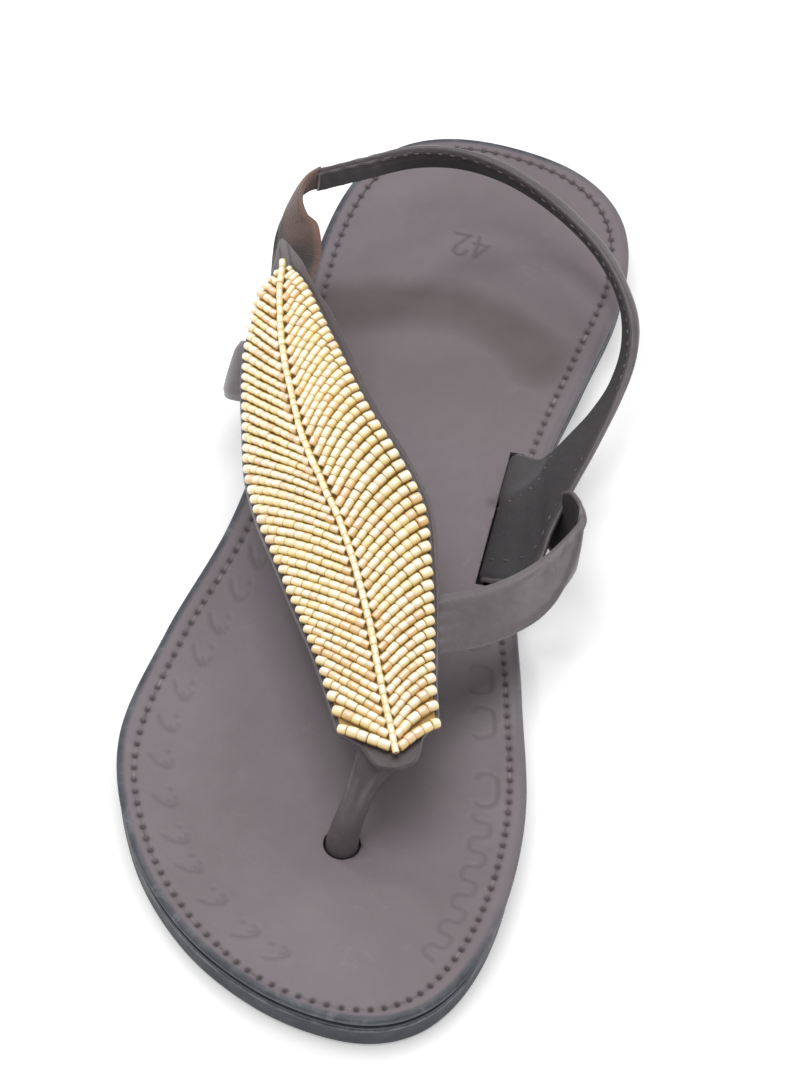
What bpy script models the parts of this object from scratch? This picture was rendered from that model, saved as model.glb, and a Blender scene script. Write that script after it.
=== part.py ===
"""Backstrap sandal with a toe post and a beaded leaf over the instep, right shoe, European size 42.

The shoe stands on z = 0 with its toe to -Y and its medial (big toe) side to +X. The origin is
under the middle of its box. Tables and sizes are in millimetres, and metres() turns a point of
theirs into metres.
"""

from bisect import bisect_right
from collections import namedtuple
from math import cos, pi, radians, sin

import bmesh
import bpy
import numpy as np
from mathutils import Matrix, Vector

MM = 0.001
GAP = 0.3  # between two pieces that lie on each other

# Sole
SOLE_LENGTH = 280.5
SOLE_POINTS = 80  # round the edge
OUTSOLE_THICK = 6.2
FOOTBED_THICK = 3.0
TOE_THICK = 10.6  # whole sole, under the toes
HEEL_THICK = 13.4  # whole sole, under the heel
TOE_SPRING = 0.8
SPRING_START = -95.0  # y where the toe begins to rise

# Straps
STRAP_THICK = 2.0
SLING_THICK = 2.2
TAB_THICK = 1.6
LEAF_THICK = 2.0
SLOT_WIDE = 3.4

# The beaded leaf lies along a chord over the instep, from its rear tip to its front end.
LEAF_REAR = Vector((-39.5, 61.0))
LEAF_AHEAD = Vector((0.39, -0.921)).normalized()
LEAF_ACROSS = Vector((-LEAF_AHEAD.y, LEAF_AHEAD.x))  # towards the medial side
BEADS_LONG = 154.5
BEADS_UNDER = 0.4  # gap between leather and beadwork
BEADS_HIGH = 1.9  # crest of a row of beads over the leather
BEADS_VALLEY = 1.0  # groove between two rows
BEADS_RIB = 2.4  # midrib over the leather
BEAD_ROWS = 47  # on each side of the midrib
LEATHER_REAR = -7.5  # the carrier's ends, along the same chord
LEATHER_FRONT = 157.8
LEATHER_TURN = 144.5  # from here to its front end the carrier narrows to the post
LEATHER_NARROW = ((0, 0.1, 0.25, 0.45, 0.72, 0.9, 1), (1.0, 0.94, 0.78, 0.59, 0.47, 0.33, 0.02))
LEATHER_TAPER = 22.0  # the carrier runs to a point from here to its rear end
# Leather beside the beadwork: places along the chord, and the border's width there.
BORDER_LATERAL = ((0, 40, 100, 140), (1.0, 1.0, 0.8, 0.4))
BORDER_MEDIAL = ((0, 40, 100, 140), (2.2, 2.2, 1.4, 0.4))

# Sole's edge: half its outline on each side, by the turn from the heel's end (0) to the toe's (180).
# The place along the shoe is the cosine of the turn, so that the rows crowd where the edge is round.
Edge = namedtuple("Edge", "turn lateral medial")
SOLE_EDGE = (
    Edge(0, -3.5, -3.5),
    Edge(15, -22.7, 21.4),
    Edge(30, -33.9, 36.9),
    Edge(45, -38.4, 42.2),
    Edge(60, -38.2, 39.0),
    Edge(75, -38.0, 34.0),
    Edge(90, -40.3, 34.3),
    Edge(105, -47.7, 43.0),
    Edge(120, -51.2, 51.1),
    Edge(135, -41.5, 52.0),
    Edge(150, -24.0, 47.0),
    Edge(165, -1.8, 36.5),
    Edge(180, 20.6, 20.6),
)

# Side of a sole layer, from its underside up: how far in from the edge, and what share of its height.
# The outsole and the midsole are cut under by these insets on the medial side only, and elsewhere by
# the share of them that UNDERCUT gives by the turn.
Rim = namedtuple("Rim", "inset share")
OUTSOLE_RIM = (Rim(2.8, 0.0), Rim(2.1, 0.12), Rim(1.6, 0.5), Rim(1.3, 0.9), Rim(1.7, 1.0))
MIDSOLE_RIM = (Rim(1.8, 0.0), Rim(1.5, 0.2), Rim(1.3, 0.8), Rim(1.5, 1.0))
UNDERCUT = ((0, 200, 245, 300, 335, 360), (0.3, 0.3, 0.9, 0.9, 0.3, 0.3))
FOOTBED_RIM = (Rim(1.2, 0.0), Rim(0.6, 0.2), Rim(0.1, 0.5), Rim(0.0, 0.72), Rim(0.3, 0.88), Rim(1.1, 1.0))

# Leaf, by the distance along its chord. Places across are measured from the chord, medial positive.
# The leather's height is crest at the midrib, and tilt and bow bend it to the sides. The sweeps
# say how far back a row of beads ends from where it leaves the midrib.
Leaf = namedtuple("Leaf", "along lateral rib medial crest tilt bow sweep_lateral sweep_medial")
LEAF = (
    Leaf(-15, -4.0, 0.0, 4.0, 45.8, 0.30, -0.003, 0, 0),
    Leaf(0, -0.6, 0.0, 0.6, 43.8, 0.35, -0.003, 0, 0),
    Leaf(8, -8.2, -1.9, 2.9, 43.6, 0.39, -0.004, 4, 4),
    Leaf(15, -11.2, -3.2, 4.3, 43.7, 0.42, -0.004, 8, 7),
    Leaf(30, -15.4, -4.9, 6.5, 44.1, 0.48, -0.006, 13.5, 10),
    Leaf(45, -17.7, -5.3, 8.6, 45.3, 0.54, -0.010, 16.5, 13),
    Leaf(60, -19.6, -5.2, 11.0, 46.7, 0.57, -0.012, 19.5, 15),
    Leaf(75, -19.4, -3.2, 15.3, 46.7, 0.48, -0.007, 20.5, 13.8),
    Leaf(90, -17.8, -0.8, 18.9, 45.7, 0.33, -0.0045, 18.7, 12.8),
    Leaf(105, -16.0, 0.3, 17.8, 44.1, 0.24, -0.003, 16, 12),
    Leaf(120, -14.0, 0.5, 15.6, 42.6, 0.14, -0.002, 14.4, 10),
    Leaf(135, -12.6, 0.0, 12.9, 41.1, 0.05, -0.003, 13.6, 9.5),
    Leaf(150, -11.6, 0.0, 11.4, 39.2, 0.00, -0.004, 10.5, 9),
    Leaf(160, -11.0, 0.0, 11.0, 38.2, 0.00, -0.004, 2, 2),
)

# Toe post, from inside the footbed up into the leaf: centre, and width across and along the foot.
Ring = namedtuple("Ring", "x y z wide deep")
POST = (
    Ring(9.6, -90.0, 8.2, 8.2, 7.9),
    Ring(9.7, -89.9, 12.0, 8.0, 7.7),
    Ring(10.3, -89.4, 16.3, 7.5, 7.2),
    Ring(11.3, -88.2, 20.8, 7.1, 6.8),
    Ring(12.3, -86.5, 24.3, 7.0, 6.7),
    Ring(13.3, -84.1, 28.0, 7.8, 6.7),
    Ring(14.9, -81.3, 31.6, 9.8, 6.8),
    Ring(16.3, -78.9, 34.4, 11.4, 6.6),
    Ring(17.0, -77.5, 36.4, 12.0, 6.0),
    Ring(17.2, -77.1, 38.2, 12.0, 5.6),
)
POST_HOLE = 9.2

# A strap's section runs straight from one of its edges to the other.
Strap = namedtuple("Strap", "x1 y1 z1 x2 y2 z2")

# Lateral strap: from under the leaf out, round in a loop, back over the sole's edge and down its slot.
# Front edge, then rear edge.
LATERAL_STRAP = (
    Strap(-38.0, 20.0, 36.6, -38.0, 36.5, 39.5),
    Strap(-41.8, 21.3, 34.4, -42.2, 38.2, 37.6),
    Strap(-45.4, 23.6, 31.6, -46.0, 40.8, 34.6),
    Strap(-47.6, 28.2, 26.6, -47.4, 43.4, 28.8),
    Strap(-48.4, 32.8, 21.0, -48.0, 47.0, 22.4),
    Strap(-46.2, 36.2, 16.2, -46.0, 51.0, 17.0),
    Strap(-42.0, 39.0, 14.2, -42.4, 55.2, 14.6),
    Strap(-35.5, 40.0, 13.8, -35.5, 56.8, 14.1),
    Strap(-32.2, 40.2, 13.8, -32.2, 57.0, 14.1),
    Strap(-30.3, 40.2, 12.8, -30.3, 57.0, 13.1),
    Strap(-29.8, 40.2, 11.2, -29.8, 57.0, 11.3),
    Strap(-29.8, 40.2, 9.5, -29.8, 57.0, 9.5),
)

# Medial strap: from under the leaf out to its fold, and back as a standing band that goes down
# outside the sling's foot and in between footbed and outsole. Front edge, then rear edge.
MEDIAL_STRAP = (
    Strap(18.5, -53.6, 39.9, 14.5, -38.6, 43.0),
    Strap(24.3, -50.2, 40.0, 20.9, -34.6, 43.2),
    Strap(30.1, -45.2, 37.2, 27.0, -28.6, 39.2),
    Strap(35.6, -39.0, 33.6, 32.8, -21.2, 34.8),
    Strap(40.6, -32.4, 31.0, 37.9, -13.4, 31.4),
    Strap(44.6, -26.6, 29.8, 42.2, -6.8, 30.2),
    Strap(47.2, -21.4, 29.8, 45.6, -1.6, 31.0),
    Strap(48.7, -16.4, 29.8, 48.0, 2.2, 32.8),
    Strap(49.3, -11.0, 27.6, 48.9, 5.0, 34.6),
    Strap(48.8, -6.4, 22.2, 48.3, 7.6, 35.2),
    Strap(47.0, -1.2, 16.6, 46.7, 10.6, 34.0),
    Strap(44.2, 4.2, 12.6, 44.6, 15.2, 29.8),
    Strap(41.2, 9.8, 9.6, 42.0, 20.6, 22.8),
    Strap(38.0, 15.4, 8.0, 39.2, 27.6, 15.4),
    Strap(34.9, 20.2, 7.7, 36.0, 34.0, 9.4),
    Strap(33.2, 21.8, 7.6, 33.6, 36.0, 7.8),
    Strap(30.4, 22.0, 7.6, 30.4, 36.4, 7.6),
)
NOTCH = ((28.6, 20.6), (37.0, 38.0))  # plan corners of the midsole's notch for that band's end

# Sling: out of its long slot on the medial side, round behind the heel and up to the tab.
# Outer (upper) edge, then inner (lower) edge.
SLING = (
    Strap(26.2, -4.4, 9.5, 26.2, 37.6, 9.5),
    Strap(26.2, -4.4, 12.0, 26.2, 37.6, 12.4),
    Strap(29.6, -6.0, 14.3, 28.2, 36.6, 13.9),
    Strap(35.6, -6.2, 17.0, 30.6, 35.4, 14.7),
    Strap(40.0, -2.6, 20.4, 33.2, 35.2, 15.2),
    Strap(41.4, 5.6, 22.8, 35.4, 38.0, 15.6),
    Strap(43.6, 18.6, 23.4, 39.0, 44.6, 16.3),
    Strap(46.8, 36.0, 22.8, 43.2, 53.4, 17.1),
    Strap(49.2, 51.6, 22.8, 46.0, 63.0, 17.8),
    Strap(50.0, 66.4, 24.6, 46.4, 75.2, 18.7),
    Strap(46.6, 79.0, 28.0, 43.2, 87.4, 20.2),
    Strap(37.6, 91.6, 31.7, 35.0, 98.6, 23.0),
    Strap(25.4, 101.6, 34.2, 23.6, 107.0, 25.8),
    Strap(10.8, 109.0, 37.2, 9.8, 112.4, 29.0),
    Strap(-2.2, 111.0, 40.1, -3.0, 112.6, 32.0),
    Strap(-14.6, 107.2, 43.6, -15.4, 107.8, 35.0),
    Strap(-27.0, 97.0, 47.4, -27.6, 97.2, 38.8),
    Strap(-37.0, 86.6, 52.0, -37.4, 87.2, 43.0),
)

# Suede tab under the leaf's rear tip, twisting up to the seam that holds the sling.
# Medial (upper) edge, then lateral (lower) edge.
TAB = (
    Strap(-31.6, 49.0, 43.9, -42.4, 55.4, 39.6),
    Strap(-31.4, 58.6, 43.1, -43.5, 61.5, 38.1),
    Strap(-31.5, 66.6, 43.7, -44.6, 68.0, 38.0),
    Strap(-34.0, 73.6, 46.1, -45.2, 73.6, 38.3),
    Strap(-37.2, 75.2, 47.6, -44.8, 78.6, 39.4),
    Strap(-39.6, 79.0, 50.4, -42.8, 83.2, 41.2),
    Strap(-39.0, 83.4, 52.2, -39.8, 86.6, 42.8),
    Strap(-36.4, 87.4, 52.4, -36.4, 88.4, 43.2),
)

RUBBER = ("rubber", (0.030, 0.036, 0.052, 1), 0.6)
BOARD = ("board", (0.022, 0.026, 0.036, 1), 0.7)
LEATHER = ("leather", (0.100, 0.078, 0.080, 1), 0.5)
BEADS = ("beads", (0.72, 0.50, 0.22, 1), 0.25)


def metres(x, y, z):
    return Vector((x, y, z)) * MM


def clear_scene():
    for thing in list(bpy.data.objects):
        bpy.data.objects.remove(thing)


def collection(name):
    made = bpy.data.collections.new(name)
    bpy.context.scene.collection.children.link(made)
    return made


def material(spec):
    """The material of this name, with its colour and roughness."""
    name, colour, rough = spec
    made = bpy.data.materials.get(name)
    if made is None:
        made = bpy.data.materials.new(name)
        made.use_nodes = True
        shader = made.node_tree.nodes["Principled BSDF"]
        shader.inputs["Base Color"].default_value = colour
        shader.inputs["Roughness"].default_value = rough
        made.diffuse_color = colour
    return made


def add_object(name, bm, spec, where):
    """A smooth-shaded object of this mesh, with its faces pointing out."""
    bmesh.ops.recalc_face_normals(bm, faces=bm.faces)
    mesh = bpy.data.meshes.new(name)
    bm.to_mesh(mesh)
    bm.free()
    mesh.materials.append(material(spec))
    mesh.shade_smooth()
    mesh.set_sharp_from_angle(angle=radians(40))
    made = bpy.data.objects.new(name, mesh)
    where.objects.link(made)
    return made


def curve_at(knots, values, at):
    """Value at `at` of the smooth curve that passes values[i] at knots[i]."""
    last = len(knots) - 1
    i = min(max(bisect_right(knots, at) - 1, 0), last - 1)
    span = knots[i + 1] - knots[i]

    def slope(k):
        low, high = max(k - 1, 0), min(k + 1, last)
        return (values[high] - values[low]) / (knots[high] - knots[low])

    u = (at - knots[i]) / span
    rise = values[i + 1] - values[i]
    start, end = slope(i) * span, slope(i + 1) * span
    return values[i] + u * (start + u * (3 * rise - 2 * start - end + u * (start + end - 2 * rise)))


def resample(rows, steps):
    """Rows on the smooth curve through these rows, `steps` for each span between two of them."""
    values = np.array(rows, float)
    lengths = np.linalg.norm(np.diff(values, axis=0), axis=1)
    knots = [0.0, *np.cumsum(lengths)]
    made = []
    for low, high in zip(knots, knots[1:]):
        made += [curve_at(knots, values, low + (high - low) * k / steps) for k in range(steps)]
    return made + [values[-1]]


# --- sole -----------------------------------------------------------------


def edge_point(turn):
    """The sole's edge, `turn` degrees round from the heel's end by way of the lateral side."""
    lateral = [(row.turn, row.lateral) for row in SOLE_EDGE]
    medial = [(360 - row.turn, row.medial) for row in reversed(SOLE_EDGE[:-1])]
    once = lateral + medial[:-1]
    before = [(angle - 360, x) for angle, x in once[-2:]]
    after = [(angle + 360, x) for angle, x in once[:2]]
    knots, places = zip(*(before + once + after))
    x = curve_at(list(knots), list(places), turn % 360)
    return Vector((x, SOLE_LENGTH / 2 * cos(radians(turn))))


def edge_inset(turn, inset):
    """The edge moved inwards, square to itself."""
    along = (edge_point(turn + 1) - edge_point(turn - 1)).normalized()
    return edge_point(turn) + inset * Vector((-along.y, along.x))


def ground(y):
    """Height of the outsole's underside: flat on the floor, with the toe sprung."""
    reach = max(0.0, SPRING_START - y) / (SOLE_LENGTH / 2 + SPRING_START)
    return TOE_SPRING * reach**2


def sole_top(y):
    """Height of the footbed's top."""
    share = min(max(y / SOLE_LENGTH + 0.5, 0.0), 1.0)
    return ground(y) + TOE_THICK + (HEEL_THICK - TOE_THICK) * share**1.3


def outsole_top(y):
    return ground(y) + OUTSOLE_THICK


def midsole_bottom(y):
    return outsole_top(y) + GAP


def footbed_bottom(y):
    return sole_top(y) - FOOTBED_THICK


def midsole_top(y):
    return footbed_bottom(y) - GAP


def cap_ring(bm, ring):
    """Close a ring of the edge with ribs that run straight across the sole."""
    half = len(ring) // 2
    for k in range(half):
        corners = [ring[k], ring[k + 1], ring[-k - 1], ring[-k]]
        bm.faces.new(list(dict.fromkeys(corners)))


def sole_layer(name, spec, where, rim, under, over, undercut=None):
    """A layer of the sole between two heights, with its side stepped as rim says."""
    bm = bmesh.new()
    rings = []
    for row in rim:
        ring = []
        for k in range(SOLE_POINTS):
            turn = 360 * k / SOLE_POINTS
            share = float(np.interp(turn, *undercut)) if undercut else 1.0
            x, y = edge_inset(turn, share * row.inset)
            ring.append(bm.verts.new(metres(x, y, under(y) + row.share * (over(y) - under(y)))))
        rings.append(ring)
    for low, high in zip(rings, rings[1:]):
        for k in range(SOLE_POINTS):
            bm.faces.new((low[k - 1], low[k], high[k], high[k - 1]))
    cap_ring(bm, rings[0])
    cap_ring(bm, rings[-1])
    return add_object(name, bm, spec, where)


# --- cutting and joining --------------------------------------------------


def as_helper(thing):
    thing.hide_render = True
    thing.display_type = "WIRE"
    return thing


def combine(body, other, operation):
    as_helper(other)
    step = body.modifiers.new(f"{operation.lower()} {other.name}", "BOOLEAN")
    step.operation = operation
    step.object = other


def box_cutter(name, low, high, where):
    bpy.ops.mesh.primitive_cube_add(size=1)
    made = bpy.context.object
    made.name = name
    middle = (Vector(low) + Vector(high)) / 2
    size = Vector(high) - Vector(low)
    made.data.transform(Matrix.Diagonal((*(size * MM), 1)))
    made.location = middle * MM
    for home in list(made.users_collection):
        home.objects.unlink(made)
    where.objects.link(made)
    return made


def hole_cutter(name, x, y, z, diameter, height, where):
    bpy.ops.mesh.primitive_cylinder_add(
        vertices=24, radius=diameter / 2 * MM, depth=height * MM, location=metres(x, y, z)
    )
    made = bpy.context.object
    made.name = name
    for home in list(made.users_collection):
        home.objects.unlink(made)
    where.objects.link(made)
    return made


def cut_footbed(footbed, where):
    """The post's hole and the two slots, through the whole board."""
    low, high = 0.0, 20.0
    post = POST[0]
    hole = hole_cutter("post_hole", post.x, post.y, (low + high) / 2, POST_HOLE, high - low, where)
    combine(footbed, hole, "DIFFERENCE")
    for name, foot in (("lateral_slot", LATERAL_STRAP[-1]), ("sling_slot", SLING[0])):
        slot = box_cutter(
            name,
            (foot.x1 - SLOT_WIDE / 2, foot.y1 - 2 * GAP, low),
            (foot.x1 + SLOT_WIDE / 2, foot.y2 + 2 * GAP, high),
            where,
        )
        combine(footbed, slot, "DIFFERENCE")


def cut_midsole(midsole, where):
    """The notch where the medial strap's end lies between footbed and outsole."""
    (x1, y1), (x2, y2) = NOTCH
    notch = box_cutter("strap_notch", (x1, y1, 0.0), (x2, y2, 20.0), where)
    combine(midsole, notch, "DIFFERENCE")


# --- upper ----------------------------------------------------------------


def grid_faces(bm, lines):
    """Quads between neighbouring lines of vertices."""
    for first, second in zip(lines, lines[1:]):
        for k in range(len(first) - 1):
            bm.faces.new((first[k], first[k + 1], second[k + 1], second[k]))


def thicken(thing, thickness, offset):
    step = thing.modifiers.new("thickness", "SOLIDIFY")
    step.thickness = thickness * MM
    step.offset = offset
    step.use_even_offset = True


def strap(name, rows, thickness, columns, where, steps=3):
    """A strap through these rows of its two edges, with its thickness to both sides of them."""
    bm = bmesh.new()
    lines = []
    for row in resample(rows, steps):
        first, second = Vector(row[:3]), Vector(row[3:])
        points = [first.lerp(second, k / columns) * MM for k in range(columns + 1)]
        lines.append([bm.verts.new(point) for point in points])
    grid_faces(bm, lines)
    made = add_object(name, bm, LEATHER, where)
    thicken(made, thickness, 0.0)
    return made


def toe_post(where):
    """The rolled post, round at the footbed and pressed flat under the leaf."""
    sides = 16
    rows = resample(POST, 2)
    bm = bmesh.new()
    rings = []
    for k, row in enumerate(rows):
        ahead = Vector(rows[min(k + 1, len(rows) - 1)][:3]) - Vector(rows[max(k - 1, 0)][:3])
        wide = Vector((1, 0, 0)) - ahead * ahead.x / ahead.length_squared
        wide.normalize()
        deep = ahead.normalized().cross(wide)
        ring = []
        for side in range(sides):
            turn = 2 * pi * side / sides
            out = wide * cos(turn) * row[3] / 2 + deep * sin(turn) * row[4] / 2
            ring.append(bm.verts.new((Vector(row[:3]) + out) * MM))
        rings.append(ring)
    for low, high in zip(rings, rings[1:]):
        for side in range(sides):
            bm.faces.new((low[side - 1], low[side], high[side], high[side - 1]))
    bm.faces.new(rings[0])
    bm.faces.new(rings[-1])
    return add_object("post", bm, LEATHER, where)


def leaf_at(along):
    """The leaf's section at this distance along its chord."""
    knots = [row.along for row in LEAF]
    return Leaf(*curve_at(knots, np.array(LEAF, float), along))


def beads_reach(along, side):
    """How far the beadwork reaches from the midrib, to the lateral (-1) or medial (1) side."""
    along = min(max(along, 0.0), BEADS_LONG)
    row = leaf_at(along)
    return row.medial - row.rib if side > 0 else row.rib - row.lateral


def leather_reach(along, side):
    """How far the leather carrier reaches: a border past the beadwork, and narrow at both ends."""
    border = curve_at(*(BORDER_MEDIAL if side > 0 else BORDER_LATERAL), along)
    if along > LEATHER_TURN:
        share = (along - LEATHER_TURN) / (LEATHER_FRONT - LEATHER_TURN)
        return (beads_reach(LEATHER_TURN, side) + border) * curve_at(*LEATHER_NARROW, share)
    if along < LEATHER_TAPER:
        share = (along - LEATHER_REAR) / (LEATHER_TAPER - LEATHER_REAR)
        return (beads_reach(LEATHER_TAPER, side) + border) * share**0.9
    return beads_reach(along, side) + border


def leaf_point(along, reach, lift=0.0):
    """Point on the leather, `reach` to the medial side of the midrib, raised along z by lift."""
    row = leaf_at(along)
    place = LEAF_REAR + LEAF_AHEAD * along + LEAF_ACROSS * (row.rib + reach)
    return metres(*place, row.crest + reach * (row.tilt + reach * row.bow) + lift)


def leaf_carrier(where):
    """The leather that carries the beads, thickened downwards."""
    stations, columns = 34, 4
    bm = bmesh.new()
    lines = []
    for k in range(stations + 1):
        share = (1 - cos(pi * k / stations)) / 2
        share = 0.5 * share + 0.5 * k / stations
        along = LEATHER_REAR + 0.3 + (LEATHER_FRONT - LEATHER_REAR - 0.5) * share
        line = []
        for column in range(-columns, columns + 1):
            side = 1 if column > 0 else -1
            reach = leather_reach(along, side) * column / columns
            line.append(bm.verts.new(leaf_point(along, reach)))
        lines.append(line)
    grid_faces(bm, lines)
    made = add_object("upper", bm, LEATHER, where)
    thicken(made, LEAF_THICK, -1.0)
    return made


def row_point(root, out, side, lift):
    """Point of a bead row that leaves the midrib at root, `out` of the way to the beadwork's edge."""
    row = leaf_at(root)
    sweep = row.sweep_medial if side > 0 else row.sweep_lateral
    reach = beads_reach(root - sweep, side) * out
    return leaf_point(root - sweep * out, side * reach, lift)


def bead_panel(where):
    """The beadwork: rows raised side by side on a wall, in a herringbone on a raised midrib."""
    outs = (1.0, 0.75, 0.5, 0.25, 0.05)
    columns = [(-1, out) for out in outs] + [(1, 0.0)] + [(1, out) for out in reversed(outs)]
    bm = bmesh.new()
    tops, floors = [], []
    for k in range(2 * BEAD_ROWS + 1):
        root = 1.5 + (BEADS_LONG - 2.0) * k / (2 * BEAD_ROWS)
        crest = BEADS_HIGH if k % 2 else BEADS_VALLEY
        top, floor = [], []
        for side, out in columns:
            high = BEADS_RIB if out < 0.01 else crest
            top.append(bm.verts.new(row_point(root, out, side, high)))
            floor.append(bm.verts.new(row_point(root, out, side, BEADS_UNDER)))
        tops.append(top)
        floors.append(floor)
    grid_faces(bm, tops)
    grid_faces(bm, floors)
    loops = [boundary(lines) for lines in (tops, floors)]
    for k in range(len(loops[0])):
        bm.faces.new((loops[0][k - 1], loops[0][k], loops[1][k], loops[1][k - 1]))
    return add_object("bead_panel", bm, BEADS, where)


def boundary(lines):
    """The vertices round a grid, in order."""
    there = [line[-1] for line in lines[1:-1]]
    back = [line[0] for line in reversed(lines[1:-1])]
    return lines[0] + there + lines[-1][::-1] + back


def build():
    clear_scene()
    parts = collection("backstrap_sandal")
    helpers = collection("cutters")
    sole_layer("outsole", RUBBER, parts, OUTSOLE_RIM, ground, outsole_top, UNDERCUT)
    midsole = sole_layer("midsole", BOARD, parts, MIDSOLE_RIM, midsole_bottom, midsole_top, UNDERCUT)
    footbed = sole_layer("footbed", LEATHER, parts, FOOTBED_RIM, footbed_bottom, sole_top)
    cut_midsole(midsole, helpers)
    cut_footbed(footbed, helpers)
    upper = leaf_carrier(parts)
    combine(upper, toe_post(helpers), "UNION")
    combine(upper, strap("tab", TAB, TAB_THICK, 2, helpers), "UNION")
    combine(upper, strap("sling", SLING, SLING_THICK, 2, helpers), "UNION")
    combine(upper, strap("lateral_strap", LATERAL_STRAP, STRAP_THICK, 3, helpers), "UNION")
    combine(upper, strap("medial_strap", MEDIAL_STRAP, STRAP_THICK, 3, helpers), "UNION")
    bead_panel(parts)


build()
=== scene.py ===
"""Looks of the backstrap sandal: sole, footbed, straps, beadwork, stitching, floor, light and camera.

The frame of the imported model: toe to -Y, medial (big toe) side to +X, floor at z = 0. Tables, sizes
and points are in millimetres, and MM turns them into metres when a mesh is made.
"""

from math import cos, pi, radians, sin

import bpy
import numpy as np
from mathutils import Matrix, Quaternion, Vector

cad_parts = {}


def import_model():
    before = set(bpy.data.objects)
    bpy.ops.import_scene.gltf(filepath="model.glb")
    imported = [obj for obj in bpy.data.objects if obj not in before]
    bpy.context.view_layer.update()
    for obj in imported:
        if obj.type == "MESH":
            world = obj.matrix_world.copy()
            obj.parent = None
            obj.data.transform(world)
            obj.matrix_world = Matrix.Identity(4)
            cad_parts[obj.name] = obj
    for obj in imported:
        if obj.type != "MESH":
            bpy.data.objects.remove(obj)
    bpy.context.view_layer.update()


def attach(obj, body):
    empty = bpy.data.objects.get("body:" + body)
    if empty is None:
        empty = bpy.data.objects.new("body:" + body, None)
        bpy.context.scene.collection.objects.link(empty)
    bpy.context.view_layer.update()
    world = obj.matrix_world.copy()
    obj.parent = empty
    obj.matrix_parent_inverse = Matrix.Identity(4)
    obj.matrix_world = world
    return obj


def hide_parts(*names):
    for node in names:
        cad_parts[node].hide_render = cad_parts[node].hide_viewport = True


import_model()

MM = 0.001
rng = np.random.default_rng(42)

# Camera, as seen from the toe's side: degrees round to the medial side, above the floor, and rolled.
VIEW_TURN = 11.94
VIEW_RISE = 51.57
VIEW_ROLL = 0.71
VIEW_DISTANCE = 1.5448
VIEW_LENS = 208.0
VIEW_TARGET = Vector((0.004, 0.0, 0.020))

# --- the sandal's forms, as in the model ---

SOLE_LENGTH = 280.5
OUTSOLE_THICK = 6.2
FOOTBED_THICK = 3.0
TOE_THICK = 10.6  # whole sole, under the toes
HEEL_THICK = 13.4  # whole sole, under the heel
TOE_SPRING = 0.8
SPRING_START = -95.0  # y where the toe begins to rise
LAYER_GAP = 0.3

STRAP_THICK = 2.0
SLING_THICK = 2.2
TAB_THICK = 1.6
LEAF_THICK = 2.0

# The leaf lies along a chord over the instep, from its rear tip. Its leather runs on past the beads.
LEAF_REAR = np.array((-39.5, 61.0))
LEAF_AHEAD = np.array((0.39, -0.921)) / np.hypot(0.39, 0.921)
LEAF_ACROSS = np.array((-LEAF_AHEAD[1], LEAF_AHEAD[0]))
BEADS_LONG = 154.5
LEATHER_REAR = -7.5
LEATHER_FRONT = 157.8
LEATHER_TURN = 144.5  # from here to its front end the leather narrows to the post
LEATHER_NARROW = ((0, 0.1, 0.25, 0.45, 0.72, 0.9, 1), (1.0, 0.94, 0.78, 0.59, 0.47, 0.33, 0.02))
LEATHER_TAPER = 22.0  # from here to its rear end it runs to a point
# Leather beside the beads: places along the chord, and the border's width there.
BORDER_LATERAL = ((0, 40, 100, 140), (1.0, 1.0, 0.8, 0.4))
BORDER_MEDIAL = ((0, 40, 100, 140), (2.2, 2.2, 1.4, 0.4))

# Sole's edge by the turn from the heel's end (0) to the toe's (180).
SOLE_EDGE = (  # turn, lateral x, medial x
    (0, -3.5, -3.5),
    (15, -22.7, 21.4),
    (30, -33.9, 36.9),
    (45, -38.4, 42.2),
    (60, -38.2, 39.0),
    (75, -38.0, 34.0),
    (90, -40.3, 34.3),
    (105, -47.7, 43.0),
    (120, -51.2, 51.1),
    (135, -41.5, 52.0),
    (150, -24.0, 47.0),
    (165, -1.8, 36.5),
    (180, 20.6, 20.6),
)

# The sides of outsole and midsole are cut under by this share of their insets, by the turn.
UNDERCUT = ((0, 200, 245, 300, 335, 360), (0.3, 0.3, 0.9, 0.9, 0.3, 0.3))

# Leaf: edges and midrib across the chord, the leather's height at the midrib and its bend to the sides,
# and how far back a row of beads ends from where it leaves the midrib.
ALONG, LATERAL, RIB, MEDIAL, CREST, TILT, BOW, SWEEP_LATERAL, SWEEP_MEDIAL = range(9)
LEAF = np.array((
    (-15, -4.0, 0.0, 4.0, 45.8, 0.30, -0.003, 0, 0),
    (0, -0.6, 0.0, 0.6, 43.8, 0.35, -0.003, 0, 0),
    (8, -8.2, -1.9, 2.9, 43.6, 0.39, -0.004, 4, 4),
    (15, -11.2, -3.2, 4.3, 43.7, 0.42, -0.004, 8, 7),
    (30, -15.4, -4.9, 6.5, 44.1, 0.48, -0.006, 13.5, 10),
    (45, -17.7, -5.3, 8.6, 45.3, 0.54, -0.010, 16.5, 13),
    (60, -19.6, -5.2, 11.0, 46.7, 0.57, -0.012, 19.5, 15),
    (75, -19.4, -3.2, 15.3, 46.7, 0.48, -0.007, 20.5, 13.8),
    (90, -17.8, -0.8, 18.9, 45.7, 0.33, -0.0045, 18.7, 12.8),
    (105, -16.0, 0.3, 17.8, 44.1, 0.24, -0.003, 16, 12),
    (120, -14.0, 0.5, 15.6, 42.6, 0.14, -0.002, 14.4, 10),
    (135, -12.6, 0.0, 12.9, 41.1, 0.05, -0.003, 13.6, 9.5),
    (150, -11.6, 0.0, 11.4, 39.2, 0.00, -0.004, 10.5, 9),
    (160, -11.0, 0.0, 11.0, 38.2, 0.00, -0.004, 2, 2),
), float)

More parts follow.
